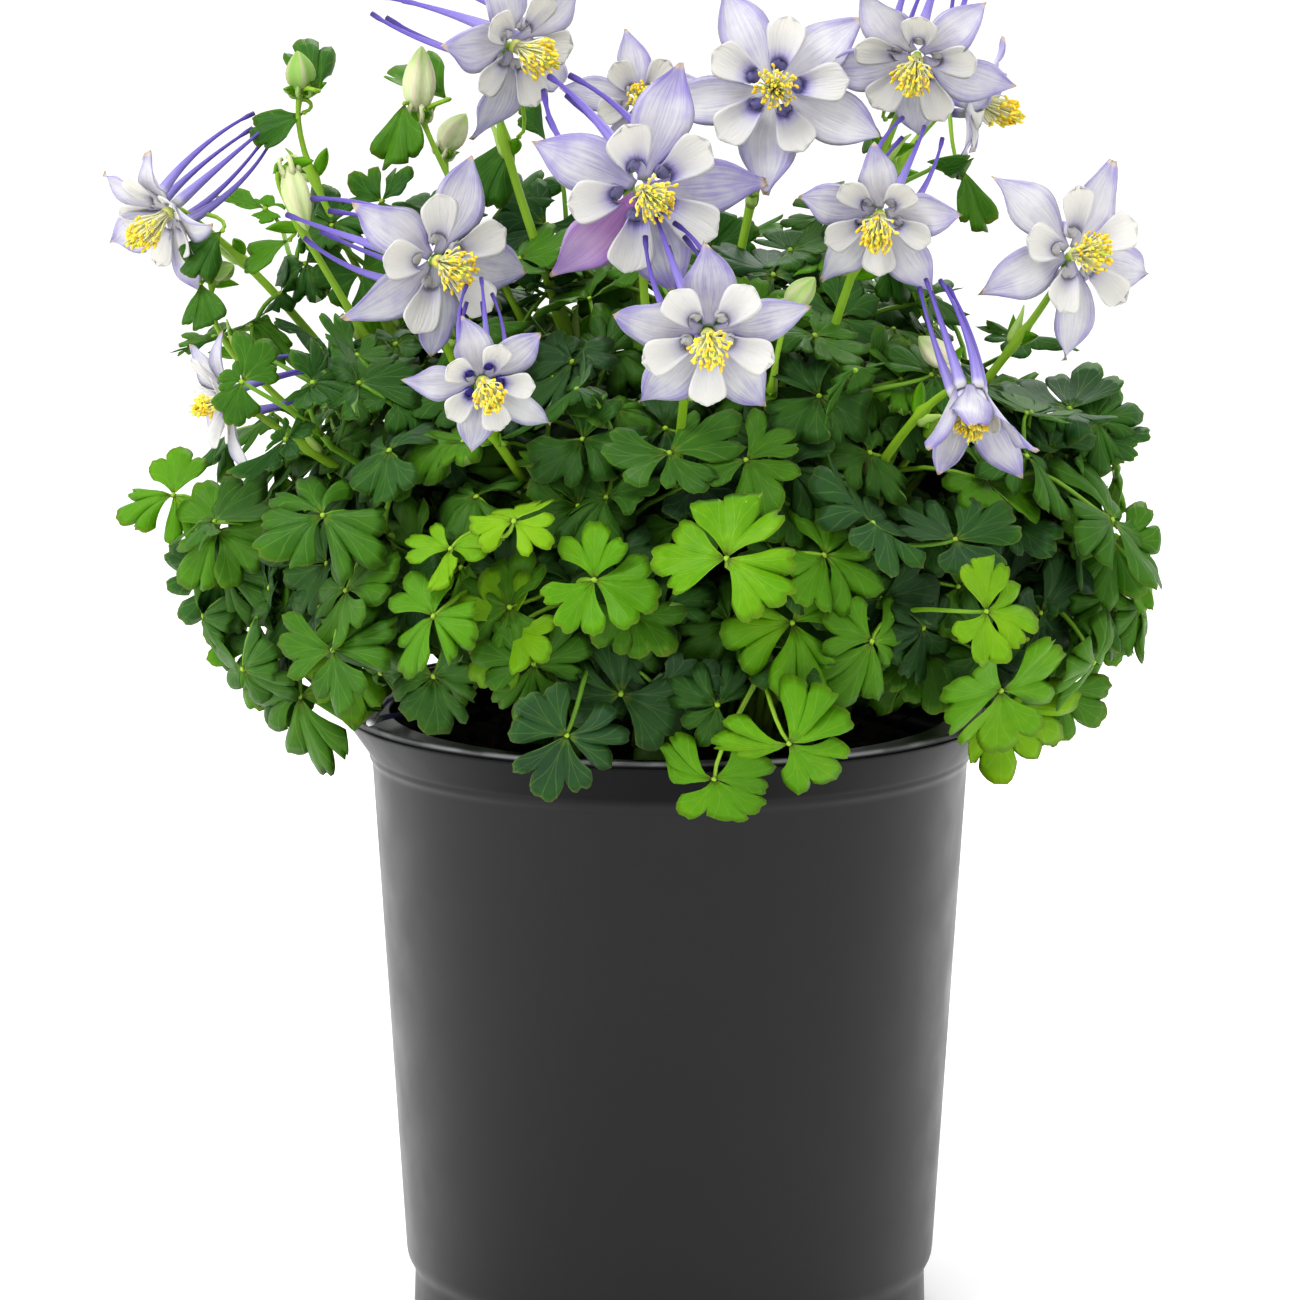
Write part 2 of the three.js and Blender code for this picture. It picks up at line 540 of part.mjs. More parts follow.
// ---- The object -------------------------------------------------------------------------
const plant = new THREE.Group();
function piece(name, geometry, color, roughness) {
  const material = new THREE.MeshStandardMaterial({ color, roughness, metalness: 0 });
  const mesh = new THREE.Mesh(geometry, material);
  mesh.name = name;
  plant.add(mesh);
}

function lathe(profile) {
  const body = new THREE.LatheGeometry(profile.map(([r, z]) => new THREE.Vector2(r, z)), POT.sides);
  body.rotateX(Math.PI / 2);
  return body;
}

function potGeometry() {
  const { height, rimRadius, bandHeight, lip, bead, edge, ledge, ledgeDrop, neckRadius,
    baseRadius, footRadius, footHeight, shoulder, draft, wall, floor, holes, holeRadius,
    holeCircle } = POT;
  const bandFoot = height - bandHeight;
  const ledgeEdge = rimRadius - bead - ledge;
  const under = height - ledgeDrop - wall;
  const footTop = footRadius - draft;
  const outside = [[0, 0], [footRadius, 0], [footTop, footHeight], [baseRadius, footHeight + shoulder],
    [neckRadius, bandFoot], [rimRadius - draft, height - lip], [rimRadius, height - edge],
    [rimRadius - edge, height], [rimRadius - bead, height - edge], [ledgeEdge, height - ledgeDrop]];
  const inside = [[ledgeEdge, under], [rimRadius - 2 * wall, under - 0.4],
    [neckRadius - wall, bandFoot + 0.5],
    [baseRadius - wall, footHeight + 4.6], [footTop - wall, footHeight + 0.6],
    [footTop - wall, floor], [0, floor]];
  let pot = solid(lathe([...outside, ...inside]));
  for (let i = 0; i < holes; i++) {
    const hole = new THREE.CylinderGeometry(holeRadius, holeRadius, 3 * floor, 10);
    hole.rotateX(Math.PI / 2);
    const angle = rad(45 + 360 * i / holes);
    hole.translate(holeCircle * Math.sin(angle), holeCircle * Math.cos(angle), 0);
    pot = pot.subtract(solid(hole));
  }
  return geometryOf(pot);
}

// The soil fills the pot, a gap away from its wall and floor.
function soilGeometry() {
  const { wall, neckRadius, baseRadius, footRadius, footHeight, floor, height, bandHeight, draft } = POT;
  const foot = footRadius - draft - wall - GAP;
  const brim = height - bandHeight - 1.4;
  const profile = [[0, floor + GAP], [foot, floor + GAP], [foot, footHeight + 0.7],
    [baseRadius - wall - GAP, footHeight + 4.9], [neckRadius - wall - GAP - 0.1, brim],
    [SOIL_CROWN, SOIL_TOP], [0, SOIL_TOP]];
  let soil = solid(lathe(profile));
  const holeRadius = CROWN.radius + GAP;
  for (const { crown } of SHOOTS) {
    const hole = new THREE.CylinderGeometry(holeRadius, holeRadius, 2 * (CROWN.depth + GAP), 8);
    hole.rotateX(Math.PI / 2);
    hole.translate(crown.x, crown.y, crown.z);
    soil = soil.subtract(solid(hole));
  }
  return geometryOf(soil);
}

// A shed spur that lies over the rim: from outside the bead to the ledge.
function fallenSpur() {
  const { from, over, to, thick } = FALLEN_SPUR;
  const curve = new THREE.QuadraticBezierCurve3(V(...from), V(...over), V(...to));
  return stalk(curve, 4, (t) => thick * (1 - 0.6 * t));
}

piece('pot', potGeometry(), COLOUR.pot, 0.45);
piece('soil', soilGeometry(), COLOUR.soil, 0.95);
piece('fallen_spur', geometryOf(fallenSpur()), COLOUR.spur, 0.6);

const growth = new Map(SHOOTS.map((shoot) => {
  const crown = new THREE.CylinderGeometry(CROWN.radius * 0.75, CROWN.radius, CROWN.height, 8);
  crown.rotateX(Math.PI / 2);
  crown.translate(shoot.crown.x, shoot.crown.y, SOIL_TOP - CROWN.depth + CROWN.height / 2);
  return [shoot, [solid(crown)]];
}));

// The next free foot for a stalk on its shoot's crown, from its middle outwards.
function footOn(shoot) {
  const i = growth.get(shoot).length - 1;
  const r = FOOT_SPACING * Math.sqrt(i + 0.3);
  const angle = rad(i * GOLDEN_ANGLE);
  return shoot.crown.clone().add(V(r * Math.cos(angle), r * Math.sin(angle), 4));
}

function growLeaf(shoot, leaf, middle) {
  const place = (p) => insideShoot(shoot, clearOfRim(clearOfBlooms(p)));
  const joint = middle.clone().addScaledVector(moundNormal(middle), -JOINT.depth);
  joint.z = Math.max(joint.z, JOINT.lowest);
  const foot = footOn(shoot);
  const bend = foot.clone().lerp(joint, 0.75).setZ(Math.max(joint.z - 14, JOINT.lowest - 2));
  const rise = foot.clone().lerp(joint, 0.15).setZ(joint.z * 0.5 + 95);
  const curve = bezier(foot, rise, bend, joint);
  const end = place(joint);
  const before = place(curve.getPointAt(1 - 1 / PETIOLE_STEPS));
  const parts = leaf.map(({ frame, length }, i) => (
    spray(frame, length, end.clone().lerp(before, 0.12 * i + 0.03), place)));
  const petiole = stalk(curve, PETIOLE_STEPS, (t) => STALK.petiole * (1.1 - 0.3 * t), place);
  return wasm.Manifold.union([petiole, ...parts]);
}

for (const leaf of compoundLeaves()) {
  const middle = leaf.reduce((sum, { frame }) => sum.add(frame.hub), V(0, 0, 0)).divideScalar(leaf.length);
  const shoot = shootAt(middle);
  growth.get(shoot).push(growLeaf(shoot, leaf, middle));
}
[...BLOOMS, ...BUDS].forEach(growStem);
BLOOMS.forEach((bloom, i) => {
  const frame = bloomFrame(bloom);
  piece(`bloom_${i + 1}_sepals`, geometryOf(sepalsAndSpurs(bloom, frame)), COLOUR.sepal, 0.55);
  piece(`bloom_${i + 1}_petals`, geometryOf(petals(bloom, frame)), COLOUR.petal, 0.55);
  piece(`bloom_${i + 1}_stamens`, geometryOf(stamens(bloom, frame)), COLOUR.stamen, 0.6);
});
OUTER.forEach((shoot, i) => {
  piece(`shoot_${i + 1}`, geometryOf(joined(growth.get(shoot))), COLOUR.leaf, 0.6);
});
piece('shoot_middle', geometryOf(joined(growth.get(MIDDLE))), COLOUR.leaf, 0.6);

export default plant;
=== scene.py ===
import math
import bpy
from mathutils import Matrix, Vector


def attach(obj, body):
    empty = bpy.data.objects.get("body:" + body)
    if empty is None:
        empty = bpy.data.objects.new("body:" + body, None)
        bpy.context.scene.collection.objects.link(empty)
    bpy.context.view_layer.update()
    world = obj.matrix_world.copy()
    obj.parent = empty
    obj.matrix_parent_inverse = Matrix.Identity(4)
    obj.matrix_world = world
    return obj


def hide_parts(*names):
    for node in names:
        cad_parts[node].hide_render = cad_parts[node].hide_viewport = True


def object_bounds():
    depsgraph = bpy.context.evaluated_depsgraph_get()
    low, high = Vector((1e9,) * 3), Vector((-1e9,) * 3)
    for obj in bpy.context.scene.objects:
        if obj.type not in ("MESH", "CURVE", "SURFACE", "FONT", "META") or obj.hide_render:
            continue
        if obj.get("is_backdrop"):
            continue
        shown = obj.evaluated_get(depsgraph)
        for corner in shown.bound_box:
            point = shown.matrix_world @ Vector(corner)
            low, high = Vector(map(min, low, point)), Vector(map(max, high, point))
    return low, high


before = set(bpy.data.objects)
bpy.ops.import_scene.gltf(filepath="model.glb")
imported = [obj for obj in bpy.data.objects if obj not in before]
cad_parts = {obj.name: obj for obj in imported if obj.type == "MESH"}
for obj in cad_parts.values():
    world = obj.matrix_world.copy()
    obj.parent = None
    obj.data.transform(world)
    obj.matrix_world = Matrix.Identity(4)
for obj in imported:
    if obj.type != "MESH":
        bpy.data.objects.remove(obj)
cad_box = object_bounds()

# A columbine in flower in a nursery pot: fine leaves, blooms, stems, soil and pot, each in the
# place of its CAD node. Lengths are in millimetres here and become metres where a mesh is made.
# +Z is up, and the plant's front looks along -Y.
from types import SimpleNamespace
import bpy
import numpy as np

MM = 0.001
UP = np.array([0.0, 0.0, 1.0])

# ---- Driving dimensions, as in the part's source ----
POT_HEIGHT = 168
RIM_RADIUS = 89
LEDGE_RADIUS = 76
BAND_HEIGHT = 15
NECK_RADIUS = 80.8
BASE_RADIUS = 72.3
FOOT_RADIUS = 70.4
FOOT_HEIGHT = 11
WALL = 1.6
FLOOR = 2.4
DRAIN_HOLES = 4
DRAIN_RADIUS = 5.5
DRAIN_CIRCLE = 52
SOIL_TOP = 158
SOIL_CROWN = 58             # the soil is flat to this radius, then falls to the wall
RIM_ROOM_INSIDE = 68.5      # a ring about the rim that the leaves bend out of
RIM_ROOM_RADIUS = 93.5
RIM_ROOM_TOP = 172.5
RIM_ROOM_GIVE = 0.12        # and the share of their depth in it that they keep
CROWN_CIRCLE = 34           # the outer shoots' crowns stand on it
FOOT_SPACING = 1.25         # between stalks on a crown
BORDERS = [-33, 22, 54, 90, 131, 172, 213, 255, 298]    # azimuths between the outer shoots
FUNNEL_RADIUS = 15          # the middle shoot's room: its radius at the soil, and its slope
FUNNEL_SLOPE = 0.42
MOUND_X = 128               # half axes of the mound, whose middle is this high
MOUND_Y = 116
MOUND_MIDDLE = 205
MOUND_UP = 92
MOUND_DOWN = 62
JOINT_DEPTH = 14            # of a compound leaf's joint below its sprays
JOINT_LOWEST = 184
SPRAY_OFFSET = 25           # of a hidden leaf's sprays from its middle
LAYERS = [0, 8, 16, 24]     # the depths to which crossing sprays sink
BACK_SHOOTS = (90, 260)     # azimuths between which the leaves are hidden, in rows
BACK_ROWS = [-24, 9, 40]    # and the elevations of these rows
TOP_RINGS = [(63, 5), (88, 1)]      # elevation and number of the hidden leaves on top
GOLDEN_ANGLE = 137.5
BLOOM_BACK = 3.2            # from a bloom's middle to its back
PETAL_RISE = 24             # degrees

# ---- Numbers that only the look has ----
CREASE_RISE = 1.3           # of the crease below the rim's band, above the solid's
HEAD_ROOM = 0.98            # clear balls before and behind a bloom, in its sizes
HEAD_AHEAD = 3
SPUR_ROOM = 0.72
SPUR_BEHIND = 21
ROOM_REACH = 1.7            # in radii: leaves bend from here on
MOST_STRETCH = 1.15         # a leaflet that its bend stretches more is drawn smaller
SHADE_DEPTH = 0.54          # share of the mound's half axes where the painted shade on the leaves is darkest
SHADE_SPAN = 0.42           # and how far out from there the painted shade fades
LIME_TONE = 0.74            # leaves this light stand out from their neighbours
LIME_RISE = 5
FINE_LENGTH = 11.5          # smaller leaflets have fewer points
LEAFLET_TURN = 104          # degrees between a spray's leaflets
HIGH_LEAVES = 215           # hidden leaflets are shorter above this height
LOW_LEAFLET = 18
HIGH_LEAFLET = 14.5
INNER_DEPTH = 20            # of the inner leaves' joints below their sprays
LEAF_THICK = 0.34
BLADE_THICK = 0.3
PETAL_THICK = 0.35
STEM_STEPS = 28
SHUT = 40                   # degrees: past this a bloom's feet gather at its axis
ANTHERS = 60
STYLES = 5
SPUR_STEPS = 16
CRUMBS = 340
CRUMB_CIRCLE = 72


# ---- Vectors and chance ----
def vec(*values):
    return np.array(values, float)


def unit(v):
    return v / np.linalg.norm(v)


def level(v, normal):
    """v's direction in the plane across normal."""
    return unit(v - normal * v.dot(normal))


def ring_angles(sides):
    return np.linspace(0, 2 * math.pi, sides, endpoint=False)


def sine(degrees):
    return math.sin(math.radians(degrees))


def cosine(degrees):
    return math.cos(math.radians(degrees))


class Layout:
    """The part's own run of chance, so that each leaf lands where its CAD solid does."""
    seed = 4211

    def spread(self, amount):
        self.seed = (self.seed * 16807) % 2147483647
        return (self.seed / 2147483647 * 2 - 1) * amount


layout = Layout()
chance = np.random.RandomState(77)      # for everything that only the look has


def vary(amount, size=None):
    return chance.uniform(-amount, amount, size)


# ---- Where the blooms, buds and leaves are ----
def flower_at(at, face, **more):
    """A bloom or bud: its place, its own axes (face, up and right) and what else it has. back is
    how far behind it its stem ends, and stem the stem's radius at its foot."""
    face = unit(vec(*face))
    up = level(UP, face)
    return SimpleNamespace(at=vec(*at), face=face, up=up, right=np.cross(up, face), **more)


def bloom(at, face, size, turn, closed, violet, throat, sweep=(0, 0, 0), tuft=1, blush=0, tucked=False):
    return flower_at(at, face, size=size, turn=turn, closed=closed, violet=violet, throat=throat,
                     sweep=vec(*sweep), tuft=tuft, blush=blush, tucked=tucked, back=BLOOM_BACK, stem=1.8)


def bud(at, face, half, wide, ripe):
    return flower_at(at, face, half=half, wide=wide, ripe=ripe, turn=0, back=half - 1, stem=1.45)


# Blooms: centre, way that the face looks, size, turn, how far the sepals close (degrees), how
# violet the sepals and the petals' throats are (0 white, 1 violet), and how the spurs' tips bend
# aside, in sizes. tuft is the stamens' size, blush how mauve the sepals at its lower left are,
# and a tucked bloom has leaves at its back.
BLOOMS = [
    bloom((-40, -35, 347), (0.65, -0.7, -0.25), 26, -20, 5, 0.3, 0.35, (-0.38, 0, 0.05)),
    bloom((27, -32, 336), (0.02, -1, 0.1), 29, -24, 0, 0.25, 0.9),
    bloom((64, -30, 343), (-0.15, -0.85, -0.45), 26, -27, 12, 0.3, 0.4, (0.12, 0, 0.25)),
    bloom((82, 22, 329), (0.8, -0.2, -0.3), 20, 0, 25, 0.35, 0.1),
    bloom((-133, -20, 302), (-0.62, -0.6, -0.5), 23, -50, 20, 0.2, 0.3, (0.22, 0, 0.2)),
    bloom((-59, -75, 295), (0.5, -0.85, -0.1), 28, -46, 4, 0.45, 0.3, (-0.4, 0, 0.1)),
    bloom((-7, -85, 314), (0.3, -0.93, -0.15), 32, 13, 2, 0.68, 0.85, (-0.24, 0, 0.36), blush=1),
    bloom((-8, -12, 331), (0.1, -0.95, 0.2), 20, 0, 10, 0.45, 0.4),
    bloom((-47, -108, 268), (0.2, -0.93, -0.25), 20, -20, 10, 0.3, 1.0, (0.1, 0, 0.47)),
    bloom((9, -117, 281), (0.05, -0.93, -0.3), 26, 0, 4, 0.4, 0.3, (-0.22, 0, 0.34)),
    bloom((53, -72, 306), (-0.1, -0.9, -0.4), 23, 0, 14, 0.3, 0.5, (0.24, 0, 0.24)),
    bloom((106, -35, 293), (0.45, -0.85, 0.15), 27, -40, 0, 0.25, 0.35, (0.3, 0, 0)),
    bloom((75, -95, 263), (0.05, -0.58, -0.8), 23, 0, 60, 0.55, 0.2, (-0.2, 0, 0.12), tuft=0.85),
    bloom((-117, -40, 255), (-0.75, -0.3, -0.2), 21, -50, 15, 0.1, 0.2, tuft=0.6, tucked=True),
]
# Buds: middle, way that the tip points, half length, half width, and ripeness (0 green, 1 pale).
BUDS = [
    bud((-98, -12, 339), (-0.1, 0, 1), 5.5, 4, 0.1),
    bud((-66, -15, 337), (0.05, 0, 1), 9, 4.4, 0.8),
    bud((-97, -40, 308), (0.3, -0.2, -1), 9, 3.6, 0.7),
    bud((-58, 12, 321), (0.5, 0, 0.8), 6, 4, 0.9),
    bud((-118, -20, 287), (0.5, -0.4, 0.3), 4, 2.6, 0.1),
    bud((33, -75, 287), (0.5, -0.3, 0.6), 6, 3.4, 0.4),
    bud((68, -58, 270), (-0.6, -0.2, 0.6), 6, 3.4, 1.0),
]
# Single leaflets on flower stems: the stem's flower, how far up it, place, length and turn.
STEM_SPRAYS = [
    (BUDS[0], 0.93, (-93, -14, 334), 15, 265), (BUDS[0], 0.84, (-97, -10, 328), 12, 20),
    (BUDS[1], 0.92, (-59, -16, 332), 18, 285), (BUDS[1], 0.85, (-70, -18, 331), 15, 60),
    (BLOOMS[4], 0.8, (-118, -24, 298), 12, 20), (BUDS[4], 0.8, (-124, -22, 284), 12, 60),
    (BUDS[2], 0.75, (-100, -28, 296), 13, 330), (BLOOMS[3], 0.8, (78, 0, 312), 13, 300),
    (BLOOMS[2], 0.82, (57, -8, 326), 13, 60), (BLOOMS[0], 0.85, (-40, -16, 322), 15, 20),
]
# Compound leaves of the front. A spray is azimuth, elevation, leaflet length, turn, and tone
# (0 dark and bluish, 1 lime).
FRONT_LEAVES = [
    [(6, 12, 19, 160, 0.9), (19, 13, 17, 60, 0.6)],
    [(15, 1, 19, 20, 0.8), (14, -24, 19, 40, 0.8), (6, -44, 17, 10, 0.7)],
    [(-13, -26, 17, -30, 0.05), (-2, -27, 18, 15, 0.08), (-17, -11, 15, -10, 0.35)],
    [(-20, -1, 16, -40, 0.92), (-8, -3, 17, 10, 0.4), (-9, 9, 16, 70, 0.75)],
    [(-18, 17, 12, 170, 1.0), (-27, 13, 13, 10, 0.95), (-28, 25, 16, -90, 0.3)],
    [(-28, 2, 15, -30, 0.6), (-22, -7, 15, 10, 0.45), (-31, 11, 15, -60, 0.7)],
    [(-9, 26, 17, -20, 0.3), (1, 34, 17, 30, 0.4), (-18, 46, 17, -60, 0.25)],
    [(10, 31, 16, 20, 0.45), (17, 24, 17, 60, 0.35), (16, 40, 17, 90, 0.2)],
    [(26, 19, 18, -120, 0.08), (29, 8, 15, 10, 0.1), (38, 14, 17, 100, 0.15)],
    [(37, 2, 15, 80, 0.85), (35, -6, 15, 10, 0.1), (25, -5, 16, -20, 0.6)],
    [(46, -22, 20, 10, 0.8), (46, 6, 17, 40, 0.3)],
    [(32, 41, 16, -60, 0.4), (30, 57, 15, 20, 0.3), (47, 45, 15, 90, 0.3)],
    [(67, 12, 20, 20, 0.4), (66, 38, 15, 100, 0.25), (57, 27, 17, 10, 0.25)],
    [(60, -9, 18, 20, 0.12), (72, -5, 16, 30, 0.35), (64, -17, 15, 10, 0.4)],
    [(82, -8, 17, 30, 0.3), (81, 8, 16, 90, 0.4), (77, 25, 17, 60, 0.3)],
    [(-46, 16, 18, -25, 0.35), (-44, 4, 17, 15, 0.4), (-42, 30, 17, -80, 0.2)],
    [(-53, 8, 16, -20, 0.25), (-54, -3, 16, 10, 0.3), (-43, -8, 17, 10, 0.4)],
    [(-57, 28, 19, -30, 0.15), (-50, 42, 18, -90, 0.2), (-40, 51, 14, 70, 0.3)],
    [(-74, 13, 17, -60, 0.2), (-78, 1, 17, -10, 0.25), (-89, 14, 16, -80, 0.35)],
    [(-71, 35, 16, -40, 0.2), (-86, 31, 16, -60, 0.3), (-98, 22, 16, -30, 0.3)],
    [(-70, -6, 16, -10, 0.2), (-68, -20, 15, 10, 0.3), (-84, -11, 15, -20, 0.3)],
]
# Leaves at the mound's left and right edges that turn to the front. A spray is its x, y and z,
# leaflet length, the way that its middle leaflet points (degrees from up, clockwise) and tone.
EDGE_LEAVES = [
    [(-133, -12, 226, 15, 250, 0.7), (-120, -24, 218, 17, 225, 0.55), (-122, -8, 203, 17, 180, 0.15)],
    [(-112, -14, 184, 15, 190, 0.55), (-104, -26, 184, 17, 185, 0.25), (-98, -38, 176, 20, 172, 0.42)],
    [(-84, -46, 189, 17, 180, 0.8), (-101, -42, 201, 15, 150, 0.25), (-95, -50, 212, 16, 60, 0.2)],
    [(117, -36, 217, 18, 190, 0.45), (124, -14, 206, 14, 90, 0.65), (118, -22, 194, 15, 95, 0.6)],
    [(87, -50, 174, 20, 80, 0.95), (101, -34, 178, 17, 120, 0.45), (93, -40, 192, 16, 40, 0.3)],
    [(111, -16, 243, 15, 100, 0.15), (100, -34, 241, 16, 300, 0.15), (98, -36, 262, 17, 20, 0.3)],
    [(78, -60, 192, 16, 200, 0.1), (66, -70, 194, 16, 170, 0.5), (88, -46, 206, 16, 250, 0.1)],
    [(-112, -66, 262, 12, 300, 0.3), (-104, -62, 250, 14, 190, 0.2), (-94, -60, 262, 13, 70, 0.15)],
]
# The same among the flower stems. A seventh number 1 marks a single leaflet, almost whole.
UPPER_LEAVES = [
    [(-101, -30, 263, 15, 180, 0.1), (-115, -22, 268, 12, 20, 0.45), (-88, -34, 258, 15, 110, 0.22)],
    [(-127, -14, 281, 9, 250, 0.35), (-122, -18, 272, 12, 190, 0.25), (-109, -16, 284, 11, 120, 0.1)],
    [(-119, -2, 305, 12, 300, 0.55), (-101, -6, 300, 14, 30, 0.3), (-97, -10, 288, 11, 160, 0.15)],
    [(-90, -10, 298, 12, 100, 0.2), (-82, -14, 286, 13, 150, 0.3), (-77, -4, 304, 11, 60, 0.2)],
    [(-63, -2, 301, 14, 330, 0.15), (-43, 0, 304, 15, 60, 0.18), (-52, -6, 289, 13, 200, 0.3)],
    [(-33, -6, 298, 17, 200, 0.2), (-29, 0, 321, 13, 320, 0.25, 1), (-22, -4, 284, 15, 30, 0.4)],
    [(27, -30, 287, 18, 330, 0.08), (31, -20, 299, 14, 70, 0.25), (36, -14, 311, 11, 10, 0.3)],
    [(-17, -52, 268, 13, 20, 0.3), (18, -50, 277, 14, 60, 0.55), (1, -50, 262, 15, 180, 0.3)],
    [(51, -52, 262, 16, 150, 0.35), (61, -48, 254, 17, 280, 0.3), (44, -42, 277, 14, 20, 0.2)],
    [(77, -20, 295, 12, 60, 0.35), (71, -24, 285, 12, 300, 0.25), (90, -22, 284, 12, 80, 0.2)],
    [(106, -28, 260, 17, 280, 0.12), (113, -20, 247, 14, 70, 0.22), (105, -24, 238, 14, 160, 0.1)],
    [(55, -6, 324, 12, 290, 0.3, 1), (58, -4, 315, 13, 250, 0.25, 1), (72, -2, 320, 13, 60, 0.3, 1)],
    [(10, -6, 291, 14, 320, 0.2), (-6, 4, 300, 14, 80, 0.15), (56, -20, 290, 13, 20, 0.2)],
    [(-70, -56, 262, 14, 250, 0.2), (-60, -60, 250, 15, 160, 0.15), (-78, -50, 274, 13, 320, 0.3)],
]
# Leaves deeper in the mound: rows of elevation, leaves in the row and how far out they lie.
INNER_ROWS = [
    (-34, 13, 0.88), (-22, 12, 0.78), (-12, 14, 0.84), (-4, 11, 0.64), (4, 14, 0.82), (12, 10, 0.6),
    (20, 14, 0.82), (30, 10, 0.68), (38, 12, 0.82), (46, 7, 0.62), (54, 9, 0.84), (70, 6, 0.84),
]


# ---- The mound and what keeps clear of what ----
def mound_rise(height):
    return MOUND_UP if height > 0 else MOUND_DOWN


def on_mound(azimuth, elevation, out=1.0):
    flat = cosine(elevation) ** 0.8 * out
    return vec(MOUND_X * flat * sine(azimuth), -MOUND_Y * flat * cosine(azimuth),
               MOUND_MIDDLE + mound_rise(elevation) * sine(elevation) * out)


def in_mound(p):
    """A point in the mound's own half axes, where the mound is nearly a ball of radius 1."""
    height = p[2] - MOUND_MIDDLE
    return vec(p[0] / MOUND_X, p[1] / MOUND_Y, height / mound_rise(height))


def mound_normal(p):
    return unit(in_mound(p) / vec(MOUND_X, MOUND_Y, mound_rise(p[2] - MOUND_MIDDLE)))


def openness(p):
    """0 deep in the mound, 1 at its surface. The leaves' painted shade is darkest at 0."""
    return float(np.clip((np.linalg.norm(in_mound(p)) - SHADE_DEPTH) / SHADE_SPAN, 0, 1))


ROOMS = []                              # round spaces that the leaves leave to the blooms
for flower in BLOOMS:
    ROOMS.append((flower.at + HEAD_AHEAD * flower.face, flower.size * HEAD_ROOM))
    if not flower.tucked:
        ROOMS.append((flower.at - SPUR_BEHIND * flower.face, flower.size * SPUR_ROOM))


def clear_of_blooms(points):
    """Bends points softly out of every bloom's room."""
    points = points.copy()
    for _ in range(3):
        for centre, radius in ROOMS:
            away = points - centre
            distance = np.linalg.norm(away, axis=1)
            reach = radius * ROOM_REACH
            near = distance < reach
            d = np.maximum(distance[near], 1e-6)
            points[near] = centre + away[near] * ((radius + d * (reach - radius) / reach) / d)[:, None]
    return points


def clear_of_rim(points):
    """Leaves by the pot's rim bend over it or hang outside it, whichever is nearer."""
    points = points.copy()
    r = np.hypot(points[:, 0], points[:, 1])
    out = RIM_ROOM_RADIUS - r
    below = RIM_ROOM_TOP - points[:, 2]
    near = (out > 0) & (below > 0) & (r > RIM_ROOM_INSIDE)
    over = near & (below < out)
    beside = near & ~over
    points[over, 2] = RIM_ROOM_TOP - below[over] * RIM_ROOM_GIVE
    points[beside, :2] *= ((RIM_ROOM_RADIUS - out[beside] * RIM_ROOM_GIVE) / r[beside])[:, None]
    return points


def place(points):
    return clear_of_rim(clear_of_blooms(np.atleast_2d(points)))


# ---- Pieces ----
BOX_LOW, BOX_HIGH = (np.array(corner) / MM for corner in cad_box)
BOX_MARGIN = 0.2
BOX_SOFT = 5


def inside_box(points):
    """Presses what would leave the CAD model's box softly back inside it, but not at its floor."""
    high = BOX_HIGH - BOX_MARGIN - BOX_SOFT
    low = BOX_LOW + BOX_MARGIN + BOX_SOFT
    low[2] = BOX_LOW[2]
    over = np.maximum(points - high, 0)
    under = np.maximum(low - points, 0)
    pressed = np.minimum(points, high) + BOX_SOFT * (1 - np.exp(-over / BOX_SOFT))
    return np.maximum(pressed, low) - BOX_SOFT * (1 - np.exp(-under / BOX_SOFT)) * (under > 0)


def add_object(name, data):
    thing = bpy.data.objects.new(name, data)
    bpy.context.scene.collection.objects.link(thing)
    return thing


class Piece:
    """One visible piece, gathered from many small forms. Each point carries a mark, its place in
    its form, and each form a trait of three numbers, which the piece's materials read."""

    def __init__(self, name):
        self.name = name
        self.points, self.marks, self.traits = [], [], []
        self.loops, self.sizes, self.slots = [], [], []
        self.count = 0

    def add(self, points, faces, slots, marks, trait=(0, 0, 0)):
        """faces are groups of equal polygons, and slots their materials, or one for all."""
        self.points.append(inside_box(np.asarray(points, float)))
        self.marks.append(marks)
        self.traits.append(np.broadcast_to(vec(*trait), (len(points), 3)))
        for group, slot in zip(faces, np.broadcast_to(slots, len(faces))):
            self.loops.append((group + self.count).ravel())
            self.sizes.append(np.full(len(group), group.shape[1]))
            self.slots.append(np.full(len(group), slot))
        self.count += len(points)

    def make(self, materials, node, slot):
        """The gathered piece in Blender, in the place of its CAD node."""
        mesh = bpy.data.meshes.new(self.name)
        loops = np.concatenate(self.loops)
        sizes = np.concatenate(self.sizes)
        mesh.vertices.add(self.count)
        mesh.vertices.foreach_set("co", (np.concatenate(self.points) * MM).ravel().astype(np.float32))
        mesh.loops.add(len(loops))
        mesh.loops.foreach_set("vertex_index", loops.astype(np.int32))
        mesh.polygons.add(len(sizes))
        mesh.polygons.foreach_set("loop_start", (np.cumsum(sizes) - sizes).astype(np.int32))
        mesh.polygons.foreach_set("material_index", np.concatenate(self.slots).astype(np.int32))
        mesh.update(calc_edges=True)
        for name, values in (("mark", self.marks), ("trait", self.traits)):
            layer = mesh.attributes.new(name, "FLOAT_VECTOR", "POINT")
            layer.data.foreach_set("vector", np.concatenate(values).ravel().astype(np.float32))
        mesh.shade_smooth()
        for material in materials:
            mesh.materials.append(material)
        piece = add_object(self.name, mesh)
        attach(piece, "root")
        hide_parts(node)
        return piece


def marked(first, second):
    """Marks from two numbers for each point of a grid. The third isn't used."""
    return np.stack(np.broadcast_arrays(first, second, 0.0), -1)


